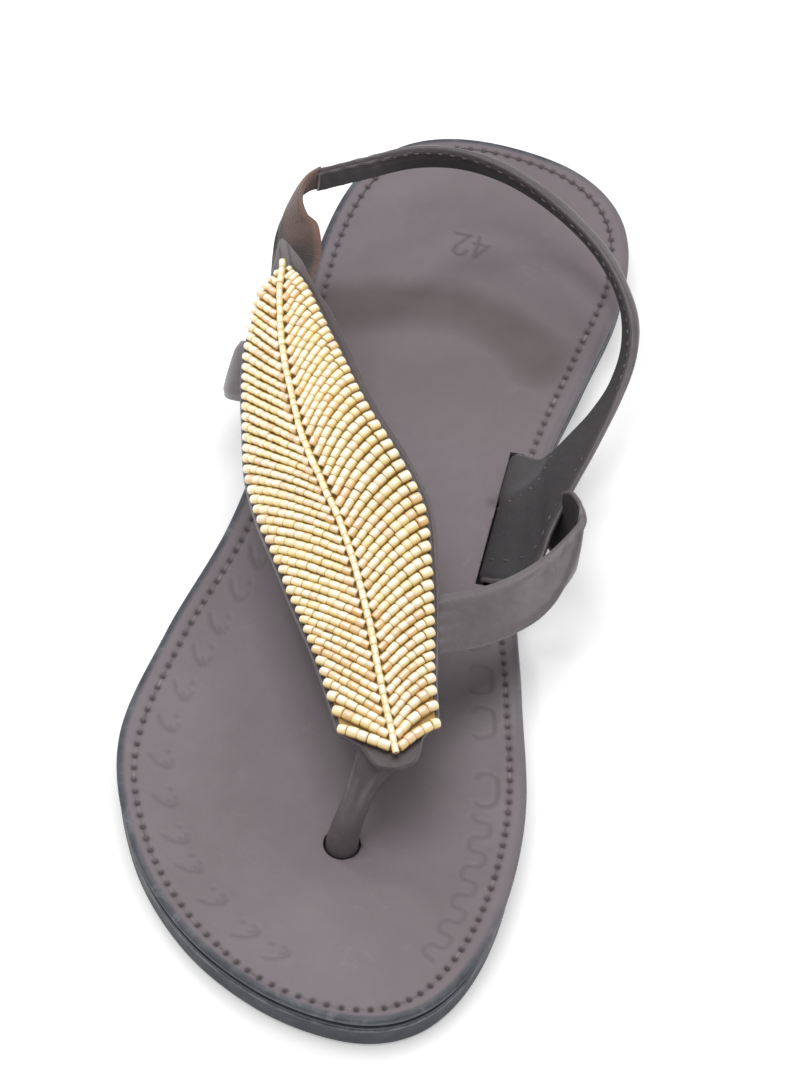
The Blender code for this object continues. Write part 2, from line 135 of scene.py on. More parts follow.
POST = (  # centre x, y, z, width across and along the foot
    (9.6, -90.0, 8.2, 8.2, 7.9),
    (9.7, -89.9, 12.0, 8.0, 7.7),
    (10.3, -89.4, 16.3, 7.5, 7.2),
    (11.3, -88.2, 20.8, 7.1, 6.8),
    (12.3, -86.5, 24.3, 7.0, 6.7),
    (13.3, -84.1, 28.0, 7.8, 6.7),
    (14.9, -81.3, 31.6, 9.8, 6.8),
    (16.3, -78.9, 34.4, 11.4, 6.6),
    (17.0, -77.5, 36.4, 12.0, 6.0),
    (17.2, -77.1, 38.2, 12.0, 5.6),
)
POST_HOLE = 9.2
SLOT_WIDE = 3.4

# Straps: one edge's x, y, z and the other's, row by row.
LATERAL_STRAP = (
    (-38.0, 20.0, 36.6, -38.0, 36.5, 39.5),
    (-41.8, 21.3, 34.4, -42.2, 38.2, 37.6),
    (-45.4, 23.6, 31.6, -46.0, 40.8, 34.6),
    (-47.6, 28.2, 26.6, -47.4, 43.4, 28.8),
    (-48.4, 32.8, 21.0, -48.0, 47.0, 22.4),
    (-46.2, 36.2, 16.2, -46.0, 51.0, 17.0),
    (-42.0, 39.0, 14.2, -42.4, 55.2, 14.6),
    (-35.5, 40.0, 13.8, -35.5, 56.8, 14.1),
    (-32.2, 40.2, 13.8, -32.2, 57.0, 14.1),
    (-30.3, 40.2, 12.8, -30.3, 57.0, 13.1),
    (-29.8, 40.2, 11.2, -29.8, 57.0, 11.3),
    (-29.8, 40.2, 9.5, -29.8, 57.0, 9.5),
)
MEDIAL_STRAP = (
    (18.5, -53.6, 39.9, 14.5, -38.6, 43.0),
    (24.3, -50.2, 40.0, 20.9, -34.6, 43.2),
    (30.1, -45.2, 37.2, 27.0, -28.6, 39.2),
    (35.6, -39.0, 33.6, 32.8, -21.2, 34.8),
    (40.6, -32.4, 31.0, 37.9, -13.4, 31.4),
    (44.6, -26.6, 29.8, 42.2, -6.8, 30.2),
    (47.2, -21.4, 29.8, 45.6, -1.6, 31.0),
    (48.7, -16.4, 29.8, 48.0, 2.2, 32.8),
    (49.3, -11.0, 27.6, 48.9, 5.0, 34.6),
    (48.8, -6.4, 22.2, 48.3, 7.6, 35.2),
    (47.0, -1.2, 16.6, 46.7, 10.6, 34.0),
    (44.2, 4.2, 12.6, 44.6, 15.2, 29.8),
    (41.2, 9.8, 9.6, 42.0, 20.6, 22.8),
    (38.0, 15.4, 8.0, 39.2, 27.6, 15.4),
    (34.9, 20.2, 7.7, 36.0, 34.0, 9.4),
    (33.2, 21.8, 7.6, 33.6, 36.0, 7.8),
    (30.4, 22.0, 7.6, 30.4, 36.4, 7.6),
)
SLING = (
    (26.2, -4.4, 9.5, 26.2, 37.6, 9.5),
    (26.2, -4.4, 12.0, 26.2, 37.6, 12.4),
    (29.6, -6.0, 14.3, 28.2, 36.6, 13.9),
    (35.6, -6.2, 17.0, 30.6, 35.4, 14.7),
    (40.0, -2.6, 20.4, 33.2, 35.2, 15.2),
    (41.4, 5.6, 22.8, 35.4, 38.0, 15.6),
    (43.6, 18.6, 23.4, 39.0, 44.6, 16.3),
    (46.8, 36.0, 22.8, 43.2, 53.4, 17.1),
    (49.2, 51.6, 22.8, 46.0, 63.0, 17.8),
    (50.0, 66.4, 24.6, 46.4, 75.2, 18.7),
    (46.6, 79.0, 28.0, 43.2, 87.4, 20.2),
    (37.6, 91.6, 31.7, 35.0, 98.6, 23.0),
    (25.4, 101.6, 34.2, 23.6, 107.0, 25.8),
    (10.8, 109.0, 37.2, 9.8, 112.4, 29.0),
    (-2.2, 111.0, 40.1, -3.0, 112.6, 32.0),
    (-14.6, 107.2, 43.6, -15.4, 107.8, 35.0),
    (-27.0, 97.0, 47.4, -27.6, 97.2, 38.8),
    (-37.0, 86.6, 52.0, -37.4, 87.2, 43.0),
)
TAB = (
    (-31.6, 49.0, 43.9, -42.4, 55.4, 39.6),
    (-31.4, 58.6, 43.1, -43.5, 61.5, 38.1),
    (-31.5, 66.6, 43.7, -44.6, 68.0, 38.0),
    (-34.0, 73.6, 46.1, -45.2, 73.6, 38.3),
    (-37.2, 75.2, 47.6, -44.8, 78.6, 39.4),
    (-39.6, 79.0, 50.4, -42.8, 83.2, 41.2),
    (-39.0, 83.4, 52.2, -39.8, 86.6, 42.8),
    (-36.4, 87.4, 52.4, -36.4, 88.4, 43.2),
)


# --- curves and meshes ---


def curve_at(knots, values, at):
    """Values, at each place of `at`, of the smooth curve that passes values[i] at knots[i]."""
    knots, values = np.asarray(knots, float), np.asarray(values, float)
    at = np.asarray(at, float)
    flat = np.atleast_1d(at)
    last = len(knots) - 1
    i = np.clip(np.searchsorted(knots, flat, side="right") - 1, 0, last - 1)
    columns = values.reshape(last + 1, -1)

    def slope(k):
        low, high = np.maximum(k - 1, 0), np.minimum(k + 1, last)
        return (columns[high] - columns[low]) / (knots[high] - knots[low])[:, None]

    span = (knots[i + 1] - knots[i])[:, None]
    u = (flat - knots[i])[:, None] / span
    rise = columns[i + 1] - columns[i]
    start, end = slope(i) * span, slope(i + 1) * span
    found = columns[i] + u * (start + u * (3 * rise - 2 * start - end + u * (start + end - 2 * rise)))
    return found.reshape(at.shape + values.shape[1:])


def travelled(points):
    """The way gone at each of these points, from the first one on."""
    return np.concatenate(([0.0], np.cumsum(np.linalg.norm(np.diff(points, axis=0), axis=1))))


def resample(rows, spacing):
    """Rows about `spacing` apart on the smooth curve through these rows, each of one point or of two."""
    values = np.array(rows, float)
    two_points = values.shape[1] == 6
    knots = travelled(values) / (2**0.5 if two_points else 1)
    count = max(2, round(knots[-1] / spacing))
    return curve_at(knots, values, np.linspace(0, knots[-1], count + 1))


def unit(vectors):
    """These vectors, each made 1 long."""
    return vectors / np.maximum(np.linalg.norm(vectors, axis=-1, keepdims=True), 1e-9)


def soft_step(low, high, value):
    """0 at low and below, 1 at high and beyond, and smooth between them."""
    share = np.clip((value - low) / (high - low), 0, 1)
    return share * share * (3 - 2 * share)


def smooth_bump(value, centre, wide):
    """1 at the centre, and dying away on both sides of it."""
    return np.exp(-(((value - centre) / wide) ** 2))


def ring_faces(rows, columns, start=0):
    """Quads between rings of vertices that follow each other."""
    row, column = np.meshgrid(np.arange(rows - 1), np.arange(columns), indexing="ij")
    ahead = (column + 1) % columns
    quads = np.stack((row * columns + column, row * columns + ahead,
                      (row + 1) * columns + ahead, (row + 1) * columns + column), axis=-1)
    return quads.reshape(-1, 4) + start


def tube_faces(rows, columns, start=0):
    """The same, with the first and the last ring closed by a face each."""
    first = start + np.arange(columns)
    return [*ring_faces(rows, columns, start), first[::-1], first + (rows - 1) * columns]


def rib_faces(around, start, flip):
    """Faces that close a ring of the sole's edge with ribs straight across it."""
    made = []
    for k in range(around // 2):
        corners = dict.fromkeys((k, k + 1, (around - k - 1) % around, (around - k) % around))
        corners = [start + corner for corner in corners]
        made.append(corners[::-1] if flip else corners)
    return made


def add_to_scene(name, data):
    made = bpy.data.objects.new(name, data)
    bpy.context.scene.collection.objects.link(made)
    return made


def piece(name, points, faces, materials, replaces, face_material=None, layers=None):
    """A smooth mesh of these points and faces that rides on the body and replaces a CAD node."""
    mesh = bpy.data.meshes.new(name)
    points = np.reshape(points, (-1, 3)) * MM
    mesh.from_pydata(points.tolist(), [], [list(map(int, face)) for face in faces])
    for material in materials:
        mesh.materials.append(material)
    if face_material is not None:
        mesh.polygons.foreach_set("material_index", np.asarray(face_material, np.int32))
    for label, values in (layers or {}).items():
        layer = mesh.attributes.new(label, "FLOAT", "POINT")
        layer.data.foreach_set("value", np.ravel(values).astype(np.float32))
    mesh.validate()
    mesh.shade_smooth()
    made = add_to_scene(name, mesh)
    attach(made, "root")
    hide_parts(replaces)
    return made


EDGE_TURNS = pi * np.arange(1, 8) / 8  # round a strap's edge, from its face to its back


def section(shares):
    """Round a strap's section: share across, way past its edge, height, and 1 on the back."""
    return ([(share, 0.0, 1.0, 0) for share in shares]
            + [(shares[-1], sin(turn), cos(turn), 0) for turn in EDGE_TURNS]
            + [(share, 0.0, -1.0, 1) for share in shares[::-1]]
            + [(shares[0], -sin(turn), -cos(turn), 0) for turn in EDGE_TURNS])


def skin(name, columns, lines, tones, looks, turned=1):
    """A strap's mesh, from a line of points along it for each column of its section."""
    count, width = len(lines[0]), len(lines)
    column_look = [min(columns[c][3], columns[(c + 1) % width][3]) for c in range(width)]
    faces = [corners[::turned] for corners in tube_faces(count, width)]
    piece(name, np.stack(lines, axis=1), faces, looks, "upper",
          face_material=column_look * (count - 1) + [0, 0], layers={"tone": np.stack(tones, axis=1)})


# --- sole ---


def edge_line(turns, inset=0.0):
    """Points of the sole's edge moved in, by the turn from the heel's end by way of the lateral side."""
    table = np.array(SOLE_EDGE, float)
    knots = np.concatenate((table[:, 0], 360 - table[-2::-1, 0]))
    places = np.concatenate((table[:, 1], table[-2::-1, 2]))
    knots = np.concatenate((knots[-3:-1] - 360, knots, knots[1:3] + 360))
    places = np.concatenate((places[-3:-1], places, places[1:3]))

    def at(angle):
        return np.stack((curve_at(knots, places, angle % 360),
                         SOLE_LENGTH / 2 * np.cos(np.radians(angle))), axis=-1)

    turns = np.asarray(turns, float)
    along = unit(at(turns + 1) - at(turns - 1))
    inward = np.stack((-along[..., 1], along[..., 0]), axis=-1)
    return at(turns) + np.asarray(inset)[..., None] * inward


def ground(y):
    """Height of the outsole's underside."""
    reach = np.maximum(0.0, SPRING_START - y) / (SOLE_LENGTH / 2 + SPRING_START)
    return TOE_SPRING * reach**2


def sole_top(y):
    """Height of the footbed's top."""
    share = np.clip(y / SOLE_LENGTH + 0.5, 0.0, 1.0)
    return ground(y) + TOE_THICK + (HEEL_THICK - TOE_THICK) * share**1.3


def outsole_top(y):
    return ground(y) + OUTSOLE_THICK


def midsole_bottom(y):
    return outsole_top(y) + LAYER_GAP


def footbed_bottom(y):
    return sole_top(y) - FOOTBED_THICK


def midsole_top(y):
    return footbed_bottom(y) - LAYER_GAP


def layer_body(rim, under, over, around):
    """Points, faces and shares of the height of a sole layer, whose side follows rim: inset, share."""
    turns = 360 * np.arange(around) / around
    rings = []
    for inset, share in rim:
        place = edge_line(turns, inset * np.interp(turns, *UNDERCUT))
        low, high = under(place[:, 1]), over(place[:, 1])
        rings.append(np.column_stack((place, low + share * (high - low))))
    faces = [*ring_faces(len(rim), around), *rib_faces(around, 0, True),
             *rib_faces(around, (len(rim) - 1) * around, False)]
    return np.concatenate(rings), faces, np.repeat([share for _, share in rim], around)


def arc_rim(steps):
    """Rim rows that follow these corners smoothly, three for each."""
    last = len(steps) - 1
    return curve_at(np.arange(last + 1), steps, np.linspace(0, last, 3 * last + 1))


SOLE_AROUND = 480
OUTSOLE_RIM = ((2.8, 0.0), (2.1, 0.12), (1.6, 0.5), (1.3, 0.85), (1.35, 0.95), (1.8, 1.0))
MIDSOLE_RIM = ((1.9, 0.0), (1.45, 0.15), (1.3, 0.5), (1.35, 0.85), (1.7, 1.0))


def sole_pieces(looks):
    for look, node, slot, rim, under, over in (
        ("rubber", "outsole", "outsole_rubber", OUTSOLE_RIM, ground, outsole_top),
        ("board", "midsole", "midsole_board", MIDSOLE_RIM, midsole_bottom, midsole_top),
    ):
        points, faces, rise = layer_body(arc_rim(rim), under, over, SOLE_AROUND)
        piece("sole_" + look, points, faces, [looks[look]], node, layers={"rise": rise})


# --- footbed ---

FOOTBED_AROUND = 1200
FOOTBED_COLUMNS = 84  # across, inside the rings
FOOTBED_FINE = 16.0  # the rings run this far in from the edge
FOOTBED_RIM = ((1.4, 0.0), (0.7, 0.14), (0.25, 0.4), (0.0, 0.66), (0.12, 0.82), (0.5, 0.94), (1.1, 1.0))

STITCH_INSET = (  # turn, distance of the stitched line from the edge
    (0, 3.5), (30, 4.4), (60, 4.6), (91, 5.1), (105, 4.9), (118, 5.0), (126, 4.2), (135, 4.0),
    (155, 3.6), (163, 2.9), (180, 3.4), (198, 4.4), (210, 5.0), (228, 4.7), (241, 4.3), (252, 4.0),
    (287, 4.4), (296, 5.0), (318, 4.6), (340, 4.0), (360, 3.5),
)
STITCH_LATERAL = 3.6  # between two needle holes
STITCH_MEDIAL = 3.25
STITCH_CHANGE = 185  # the turn, just past the toe's end, where the one gives way to the other


def stitch_line(turns):
    table = np.array(STITCH_INSET)
    return edge_line(turns, curve_at(table[:, 0], table[:, 1], np.asarray(turns) % 360))


def stitch_turns():
    """Turns of the needle holes, closer together on the medial side."""
    turns = np.linspace(0, 360, 1441)
    steps = np.linalg.norm(np.diff(stitch_line(turns), axis=0), axis=1)
    steps = steps / np.where(turns[1:] < STITCH_CHANGE, STITCH_LATERAL, STITCH_MEDIAL)
    count = np.concatenate(([0.0], np.cumsum(steps)))
    whole = round(count[-1])
    return np.interp(np.arange(whole) * count[-1] / whole, count, turns)


# Tooled ornament, in lengths along the edge and distances in from it.
WAVE_FROM, WAVE_TO, WAVE_LONG = 33.0, 84.0, 9.5  # medial, from the toe's end
WAVE_MIDDLE, WAVE_HIGH, WAVE_TROUGH, WAVE_SQUARE = 10.6, 2.3, 36.7, 0.8
ARCHES = ((87, 98), (109, 118), (122, 131), (136, 144))
ARCH = (  # share of the arch's length, distance in from the edge
    (0.12, 12.6), (0.0, 11.6), (0.03, 9.0), (0.14, 7.5), (0.5, 7.2), (0.86, 7.5), (0.97, 9.0),
    (1.0, 11.6), (0.86, 12.4),
)
HOOKS = (10, 21, 33, 44, 56, 68, 82, 96, 109, 120, 133, 148, 159)  # lateral, from the waist to the toe
HOOK = (  # strokes of one, each as length on from its place and distance in
    ((-5.5, 8.2), (-2.6, 9.8), (-0.4, 12.3), (-0.9, 13.5), (-3.6, 13.8)),
    ((-2.7, 11.8), (-1.4, 12.6)),
    ((-6.8, 12.6), (-6.3, 12.9)),
)
MARK_REACH = 2.0  # past this a line or hole leaves no mark
SEAM_WIDE, SEAM_DEEP = 0.8, 0.2
HOLE_WIDE, HOLE_DEEP = 0.66, 0.6
TOOL_WIDE, TOOL_DEEP = 0.55, 0.24
SWELL_HIGH = 0.16  # the worn top is uneven by this much, away from the edge
# Painted shadow of the sling: a darkened band across the heel, full to the first of its two distances and
# gone at the second.
HEEL_SHADE = ((-30.0, 76.0), (-18.0, 80.5), (0.0, 83.0), (12.0, 80.5), (20.0, 75.0), (25.0, 69.5))
HEEL_SHADE_FADES, HEEL_SHADE_REACH = (2.0, 11.0), 20.0
# Painted shade of the leaf and the medial strap over the waist of the footbed.
WAIST_SHADE, WAIST_SHADE_SIZE = (10.0, 62.0), (36.0, 24.0)  # middle and size of a fainter one before it
SNAG, SNAG_WIDE, SNAG_REACH = (23.5, 21.2), 1.7, 3.0  # torn spot by the sling's slot
NUMBER_AT = (4.8, 107.0)  # the number's corner, towards the heel
NUMBER_WIDE, NUMBER_HIGH = 9.4, 7.2
DIGITS = (  # strokes of 4 and of 2, as shares of the number's width and height
    ((0.32, 0.0), (0.32, 1.0), (0.0, 0.34), (0.44, 0.34)),
    ((0.58, 0.74), (0.64, 0.94), (0.80, 1.0), (0.94, 0.84), (0.88, 0.55), (0.58, 0.0), (1.0, 0.0)),
)


def by_edge(start, lengths, insets):
    """Points this long a way from the turn `start` round the edge, and so far in."""
    turns = np.linspace(0, 360, 721)
    length = travelled(edge_line(turns))
    places = np.interp(np.interp(start, turns, length) + lengths, length, turns)
    return edge_line(places, insets)


def tooled_lines():
    """Lines of a wave and arches on the medial side, of hooks on the lateral, and of the size number."""
    run = np.linspace(WAVE_FROM, WAVE_TO, 90)
    phase = 2 * pi * (run - WAVE_TROUGH) / WAVE_LONG
    lines = [by_edge(180, run + WAVE_SQUARE * np.sin(2 * phase), WAVE_MIDDLE + WAVE_HIGH * np.cos(phase))]
    for first, last in ARCHES:
        share, inset = np.array(ARCH).T
        lines.append(by_edge(180, first + share * (last - first), inset))
    for place in HOOKS:
        for stroke in HOOK:
            ahead, inset = np.array(stroke).T
            lines.append(by_edge(90, place + ahead, inset))
    return lines + number_lines()


def number_lines():
    return [NUMBER_AT - np.array(stroke) * (NUMBER_WIDE, NUMBER_HIGH) for stroke in DIGITS]


def footbed_mesh():
    """Points, faces, and each point's distance in from the edge."""
    around = FOOTBED_AROUND
    turns = 360 * np.arange(around) / around
    rings, insets = [], []
    for inset, share in arc_rim(FOOTBED_RIM):
        place = edge_line(turns, np.full(around, inset))
        top, low = sole_top(place[:, 1]), footbed_bottom(place[:, 1])
        rings.append(np.column_stack((place, low + share * (top - low))))
        insets.append(np.full(around, inset if share > 0.9 else 0.0))
    # Rings closer together under the seam than under the tooling.
    for inset in (*np.arange(1.6, 7.4, 0.42), *np.arange(7.5, FOOTBED_FINE - 0.3, 0.65), FOOTBED_FINE):
        place = edge_line(turns, np.full(around, inset))
        rings.append(np.column_stack((place, sole_top(place[:, 1]))))
        insets.append(np.full(around, inset))
    faces = [*ring_faces(len(rings), around), *rib_faces(around, 0, True)]
    half = around // 2
    inner = (len(rings) - 1) * around
    lateral = rings[-1][1:half]
    medial = rings[-1][:half:-1]
    shares = np.linspace(0, 1, FOOTBED_COLUMNS + 1)[1:-1]
    middle = lateral[:, None, :2] * (1 - shares)[None, :, None] + medial[:, None, :2] * shares[None, :, None]
    middle = np.concatenate((middle, sole_top(middle[..., 1:2])), axis=-1).reshape(-1, 3)
    start = len(rings) * around

    def column(k, c):
        if c == 0:
            return inner + k
        if c == FOOTBED_COLUMNS:
            return inner + (around - k) % around
        return start + (k - 1) * (FOOTBED_COLUMNS - 1) + c - 1

    for k in range(1, half - 1):
        for c in range(FOOTBED_COLUMNS):
            faces.append([column(k, c), column(k + 1, c), column(k + 1, c + 1), column(k, c + 1)])
    for k, ahead in ((0, 1), (half, half - 1)):
        fan = [column(ahead, c) for c in range(FOOTBED_COLUMNS + 1)]
        fan = fan if k == 0 else fan[::-1]
        for first, second in zip(fan, fan[1:]):
            faces.append([inner + k, first, second])
    insets = np.concatenate([*insets, np.full(len(middle), FOOTBED_FINE)])
    return np.concatenate((*rings, middle)), faces, insets


def near_marks(points, marks, radius):
    """Each point's distance to the nearest mark, where that is under radius, else radius."""
    found = np.full(len(points), radius)
    order = np.argsort(points[:, 1])
    sorted_y = points[order, 1]
    for mark in marks:
        low, high = np.searchsorted(sorted_y, (mark[1] - radius, mark[1] + radius))
        near = order[low:high]
        far = np.hypot(points[near, 0] - mark[0], points[near, 1] - mark[1])
        found[near] = np.minimum(found[near], far)
    return found


def near_line(points, line, radius):
    """The same to a polyline."""
    found = np.full(len(points), radius)
    low, high = line.min(0) - radius, line.max(0) + radius
    inside = np.flatnonzero(((points[:, :2] > low) & (points[:, :2] < high)).all(1))
    spots = points[inside, :2]
    best = np.full(len(inside), radius)
    for start, end in zip(line, line[1:]):
        step = end - start
        share = np.clip((spots - start) @ step / max(step @ step, 1e-9), 0, 1)
        best = np.minimum(best, np.linalg.norm(spots - start - share[:, None] * step, axis=1))
    found[inside] = best
    return found


def near_lines(points, lines, radius):
    """The same to the nearest of some polylines."""
    found = np.full(len(points), radius)
    for line in lines:
        found = np.minimum(found, near_line(points, line, radius))
    return found


def cut_holes(thing):
    """The post's hole and the two slots of the footbed."""
    middle, deep, slot_spare = 10 * MM, 20 * MM, 1.2
    bpy.ops.mesh.primitive_cylinder_add(vertices=48, radius=POST_HOLE / 2 * MM, depth=deep,
                                        location=(POST[0][0] * MM, POST[0][1] * MM, middle))
    cutters = [bpy.context.object]
    for foot in (LATERAL_STRAP[-1], SLING[0]):
        centre = (foot[0] * MM, (foot[1] + foot[4]) / 2 * MM, middle)
        bpy.ops.mesh.primitive_cube_add(size=1, location=centre)
        bpy.context.object.scale = (SLOT_WIDE * MM, (foot[4] - foot[1] + slot_spare) * MM, deep)
        cutters.append(bpy.context.object)
    bpy.context.view_layer.update()
    for cutter in cutters:
        step = thing.modifiers.new("cut", "BOOLEAN")
        step.operation = "DIFFERENCE"
        step.solver = "EXACT"
        step.object = cutter
        bpy.context.view_layer.objects.active = thing
        bpy.ops.object.modifier_apply(modifier=step.name)
        bpy.data.objects.remove(cutter)


def footbed_piece(looks):
    points, faces, insets = footbed_mesh()
    x, y = points[:, 0], points[:, 1]
    top = insets > 0.9
    seam = near_line(points, stitch_line(np.linspace(0, 360, 721)), MARK_REACH)
    groove = smooth_bump(seam, 0, SEAM_WIDE)
    holes = smooth_bump(near_marks(points, stitch_line(stitch_turns()), MARK_REACH), 0, HOLE_WIDE)
    tool = near_lines(points, tooled_lines(), MARK_REACH)
    tooled = smooth_bump(tool, 0, TOOL_WIDE) - 0.35 * smooth_bump(tool, 1.2, 0.5)  # with a raised rim
    swell = SWELL_HIGH * np.sin(x * 0.21 + 1.3 * np.sin(y * 0.05)) * np.sin(y * 0.09)
    points[:, 2] -= top * (SEAM_DEEP * groove + HOLE_DEEP * holes + TOOL_DEEP * tooled
                           + soft_step(2.0, 9.0, insets) * swell)
    softer = 1 - 0.3 * soft_step(84.0, 76.0, y)  # the band fades more slowly to the front
    # Painted shadow of the sling, darkening the footbed across the heel.
    painted_heel_shadow = near_line(points, np.array(HEEL_SHADE), HEEL_SHADE_REACH)
    painted_heel_shadow = 1 - soft_step(*HEEL_SHADE_FADES, softer * painted_heel_shadow)
    # Painted shade at the waist, under the leaf and the medial strap.
    painted_waist_shade = np.hypot(*((points[:, :2] - WAIST_SHADE) / WAIST_SHADE_SIZE).T)
    snag = near_marks(points, [SNAG], SNAG_REACH)
    number = near_lines(points, number_lines(), MARK_REACH)
    medial = soft_step(10.0, 30.0, x) * soft_step(-120.0, -95.0, y)
    layers = {
        "edge": (1 - soft_step(1.0, 2.4, insets)) * (1 - 0.75 * medial),
        "mark": np.clip(0.1 * groove + 1.3 * holes + 0.5 * smooth_bump(snag, 0, SNAG_WIDE), 0, 1) * top,
        "tool": np.clip(tooled + 0.9 * smooth_bump(number, 0, 0.6), 0, 1.9) * top,
        "shade": np.maximum(painted_heel_shadow, 0.42 * np.exp(-(painted_waist_shade**2))) * top,
        "rise": np.clip((points[:, 2] - footbed_bottom(y)) / FOOTBED_THICK, 0, 1),
    }
    made = piece("footbed_leather", points, faces, [looks["footbed"]], "footbed",
                 layers=layers)
    cut_holes(made)


# --- straps ---

STRAP_STEP = 1.0  # between a strap's rows of vertices
BEVEL, BEVEL_COLUMNS = 0.45, 1.5  # a strap thins by this share over this many columns at each edge
BACK_LIFT = 0.6  # the back follows this share of the face's lift


class Band:
    """A strap between two edges, one given by the first and one by the last three values of a row.

    Its face is on the side that turned (1 or -1) says.
    """

    def __init__(self, rows, thick, turned=1):
        rows = resample(rows, STRAP_STEP)
        self.first, self.thick = rows[:, :3], thick
        middle = (rows[:, :3] + rows[:, 3:]) / 2
        ahead = unit(np.gradient(middle, axis=0))
        side = rows[:, 3:] - self.first
        self.wide = np.linalg.norm(side, axis=1)
        self.side = side / self.wide[:, None]
        self.out = turned * unit(np.cross(self.side, ahead))
        self.turned = turned
        self.length = travelled(middle)

    def place(self, along, share, lift):
        """Points `along` the strap at these shares of its width, over its middle by lift, and its way out."""
        def at(values):
            return np.stack([np.interp(along, self.length, values[:, k]) for k in range(3)], axis=-1)

        wide = np.interp(along, self.length, self.wide)
        out = at(self.out)
        return at(self.first) + at(self.side) * (share * wide)[..., None] + out * lift, out

    def piece(self, name, looks, shape, across, face, back):
        """The strap's mesh. shape gives lift and tone by the place along and across; face and back, looks."""
        half, count = self.thick / 2, len(self.length)
        columns = section(np.linspace(0, 1, across + 1))
        lines, tones = [], []
        for share, beyond, high, is_back in columns:
            lift, tone = shape(self.length, np.full(count, share), is_back)
            in_from_edge = min(share, 1 - share) * across / BEVEL_COLUMNS
            bevel = 1 - BEVEL * (1 if beyond else max(0.0, 1 - in_from_edge))
            reach = half + share * (self.wide - 2 * half) + half * beyond
            follow = 0.0 if beyond else 1 if high > 0 else BACK_LIFT
            height = np.broadcast_to(half * high * bevel + follow * lift, count)
            lines.append(self.first + self.side * reach[:, None] + self.out * height[:, None])
            tones.append(np.broadcast_to(tone, count))
        skin(name, columns, lines, tones, [looks[face], looks[back]], self.turned)


# The sling's upper edge is rolled, over a groove. Shares are of its width.
ROLL_GROWS = (48.0, 78.0)  # places along it
ROLL_SINKS = (26, 4)  # places back from its far end
ROLL_WIDE, ROLL_HIGH = 0.36, 1.1
GROOVE_AT, GROOVE_WIDE, GROOVE_DEEP = 0.375, 0.025, 0.35
# Its far end is gathered into small folds, from here to here back from the end.
GATHER = (30, 16)
FOLD_HIGH, FOLD_BACK_HIGH = 0.45, 0.3
FOLD_RATE, FOLD_SLANT = 1.15, 3.0  # radians for each millimetre along, and over the whole width
SAG_HIGH, SAG_RATE, SAG_SLANT = 0.22, 0.33, 2.0  # shallow waves all along it
# Its foot is creased from this share of its width at the slot to its rear edge this far up.
CREASE_SHARE, CREASE_LONG = 0.58, 22.0


def sling_shape(along, share, is_back):
    """Rolled along its upper edge over a groove, folded at the foot, gathered and drab at the tab."""
    total = along[-1]
    roll = soft_step(*ROLL_GROWS, along)
    roll = roll * (1 - 0.6 * soft_step(total - ROLL_SINKS[0], total - ROLL_SINKS[1], along))
    inside = np.clip(share / ROLL_WIDE, 0, 1)
    groove = smooth_bump(share, GROOVE_AT, GROOVE_WIDE)
    lift = roll * (ROLL_HIGH * np.sin(pi * inside) ** 0.8 - GROOVE_DEEP * groove)
    gather = soft_step(total - GATHER[0], total - GATHER[1], along)
    folds = np.sin(along * FOLD_RATE + FOLD_SLANT * share)
    lift = lift + gather * FOLD_HIGH * folds * np.sin(pi * share)
    lift = lift + SAG_HIGH * np.sin(along * SAG_RATE + share * SAG_SLANT) * np.sin(pi * share)
    if is_back:
        up = along / CREASE_LONG
        past = share - CREASE_SHARE - (1 - CREASE_SHARE) * along / CREASE_LONG
        folded = soft_step(-0.02, 0.03, past) * (1 - soft_step(0.9, 1.0, up))
        crease = smooth_bump(past, -0.01, 0.03) * (1 - soft_step(0.9, 1.1, up))
        lift = 0.25 * lift + gather * FOLD_BACK_HIGH * folds - 0.7 * folded + 0.2 * crease
        return lift, 0.42 + 0.30 * folded + 0.22 * crease + 0.58 * gather
    # Painted highlight along the crown of the roll and painted shade in the groove below it; at the gathered
    # end the tone rises and falls with the folds as painted light and shade.
    shaded = smooth_bump(share, 0.38, 0.03)
    tone = 0.12 + roll * (0.42 * (inside < 1) * np.sin(pi * inside) - 0.5 * shaded)
    return lift, tone - 0.16 * gather + 0.1 * gather * np.sin(along * FOLD_RATE)


def side_strap(along, share, crown, folds_reach, folds_high, folds):
    """How near the leaf a place is, and its lift: crowned, and drawn into so many folds at the leaf."""
    near = np.exp(-along / folds_reach)
    return near, crown * 4 * share * (1 - share) + near * folds_high * np.sin(share * 2 * pi * folds)


def lateral_shape(along, share, is_back):
    """Crowned, skived lighter at its edges, drawn in where it is sewn to the leaf."""
    near, lift = side_strap(along, share, crown=0.35, folds_reach=4.0, folds_high=0.35, folds=4.5)
    # Painted shade darkens it where it goes in under the leaf.
    tone = 0.46 + 0.25 * (np.abs(share - 0.5) > 0.46) - 0.35 * near
    return (0.0 * lift, 0.35) if is_back else (lift, tone)


def medial_shape(along, share, is_back):
    """Crowned, with a rounded rear edge, and gathered where it goes in under the leaf."""
    near, lift = side_strap(along, share, crown=0.45, folds_reach=5.0, folds_high=0.5, folds=4.0)
    lift = lift + 0.55 * soft_step(0.76, 0.9, share) * (1 - soft_step(0.93, 1.0, share))
    # Painted highlight along the rounded rear edge, and painted shade where it goes in under the leaf.
    tone = 0.20 + 0.22 * soft_step(0.70, 0.90, share) - 0.4 * near
    # Its back is darkened as painted shade inside the fold.
    return (0.0 * lift, -0.3) if is_back else (lift, tone)


def tab_shape(along, share, is_back):
    """Soft suede, humped along its middle, with greyer worn edges and a painted shadow where the leaf lies
    over it.
    """
    lift = 0.5 * np.sin(pi * share) + 0.25 * np.sin(along * 0.35 + 4 * share)
    # Painted shadow of the leaf on the tab.
    painted_leaf_shadow = 1 - soft_step(13.0, 23.0, along)
    edges = 0.4 * smooth_bump(share, 0.0, 0.06) - 0.35 * soft_step(0.72, 0.95, share)
    return lift, 0.42 + edges - 0.42 * painted_leaf_shadow


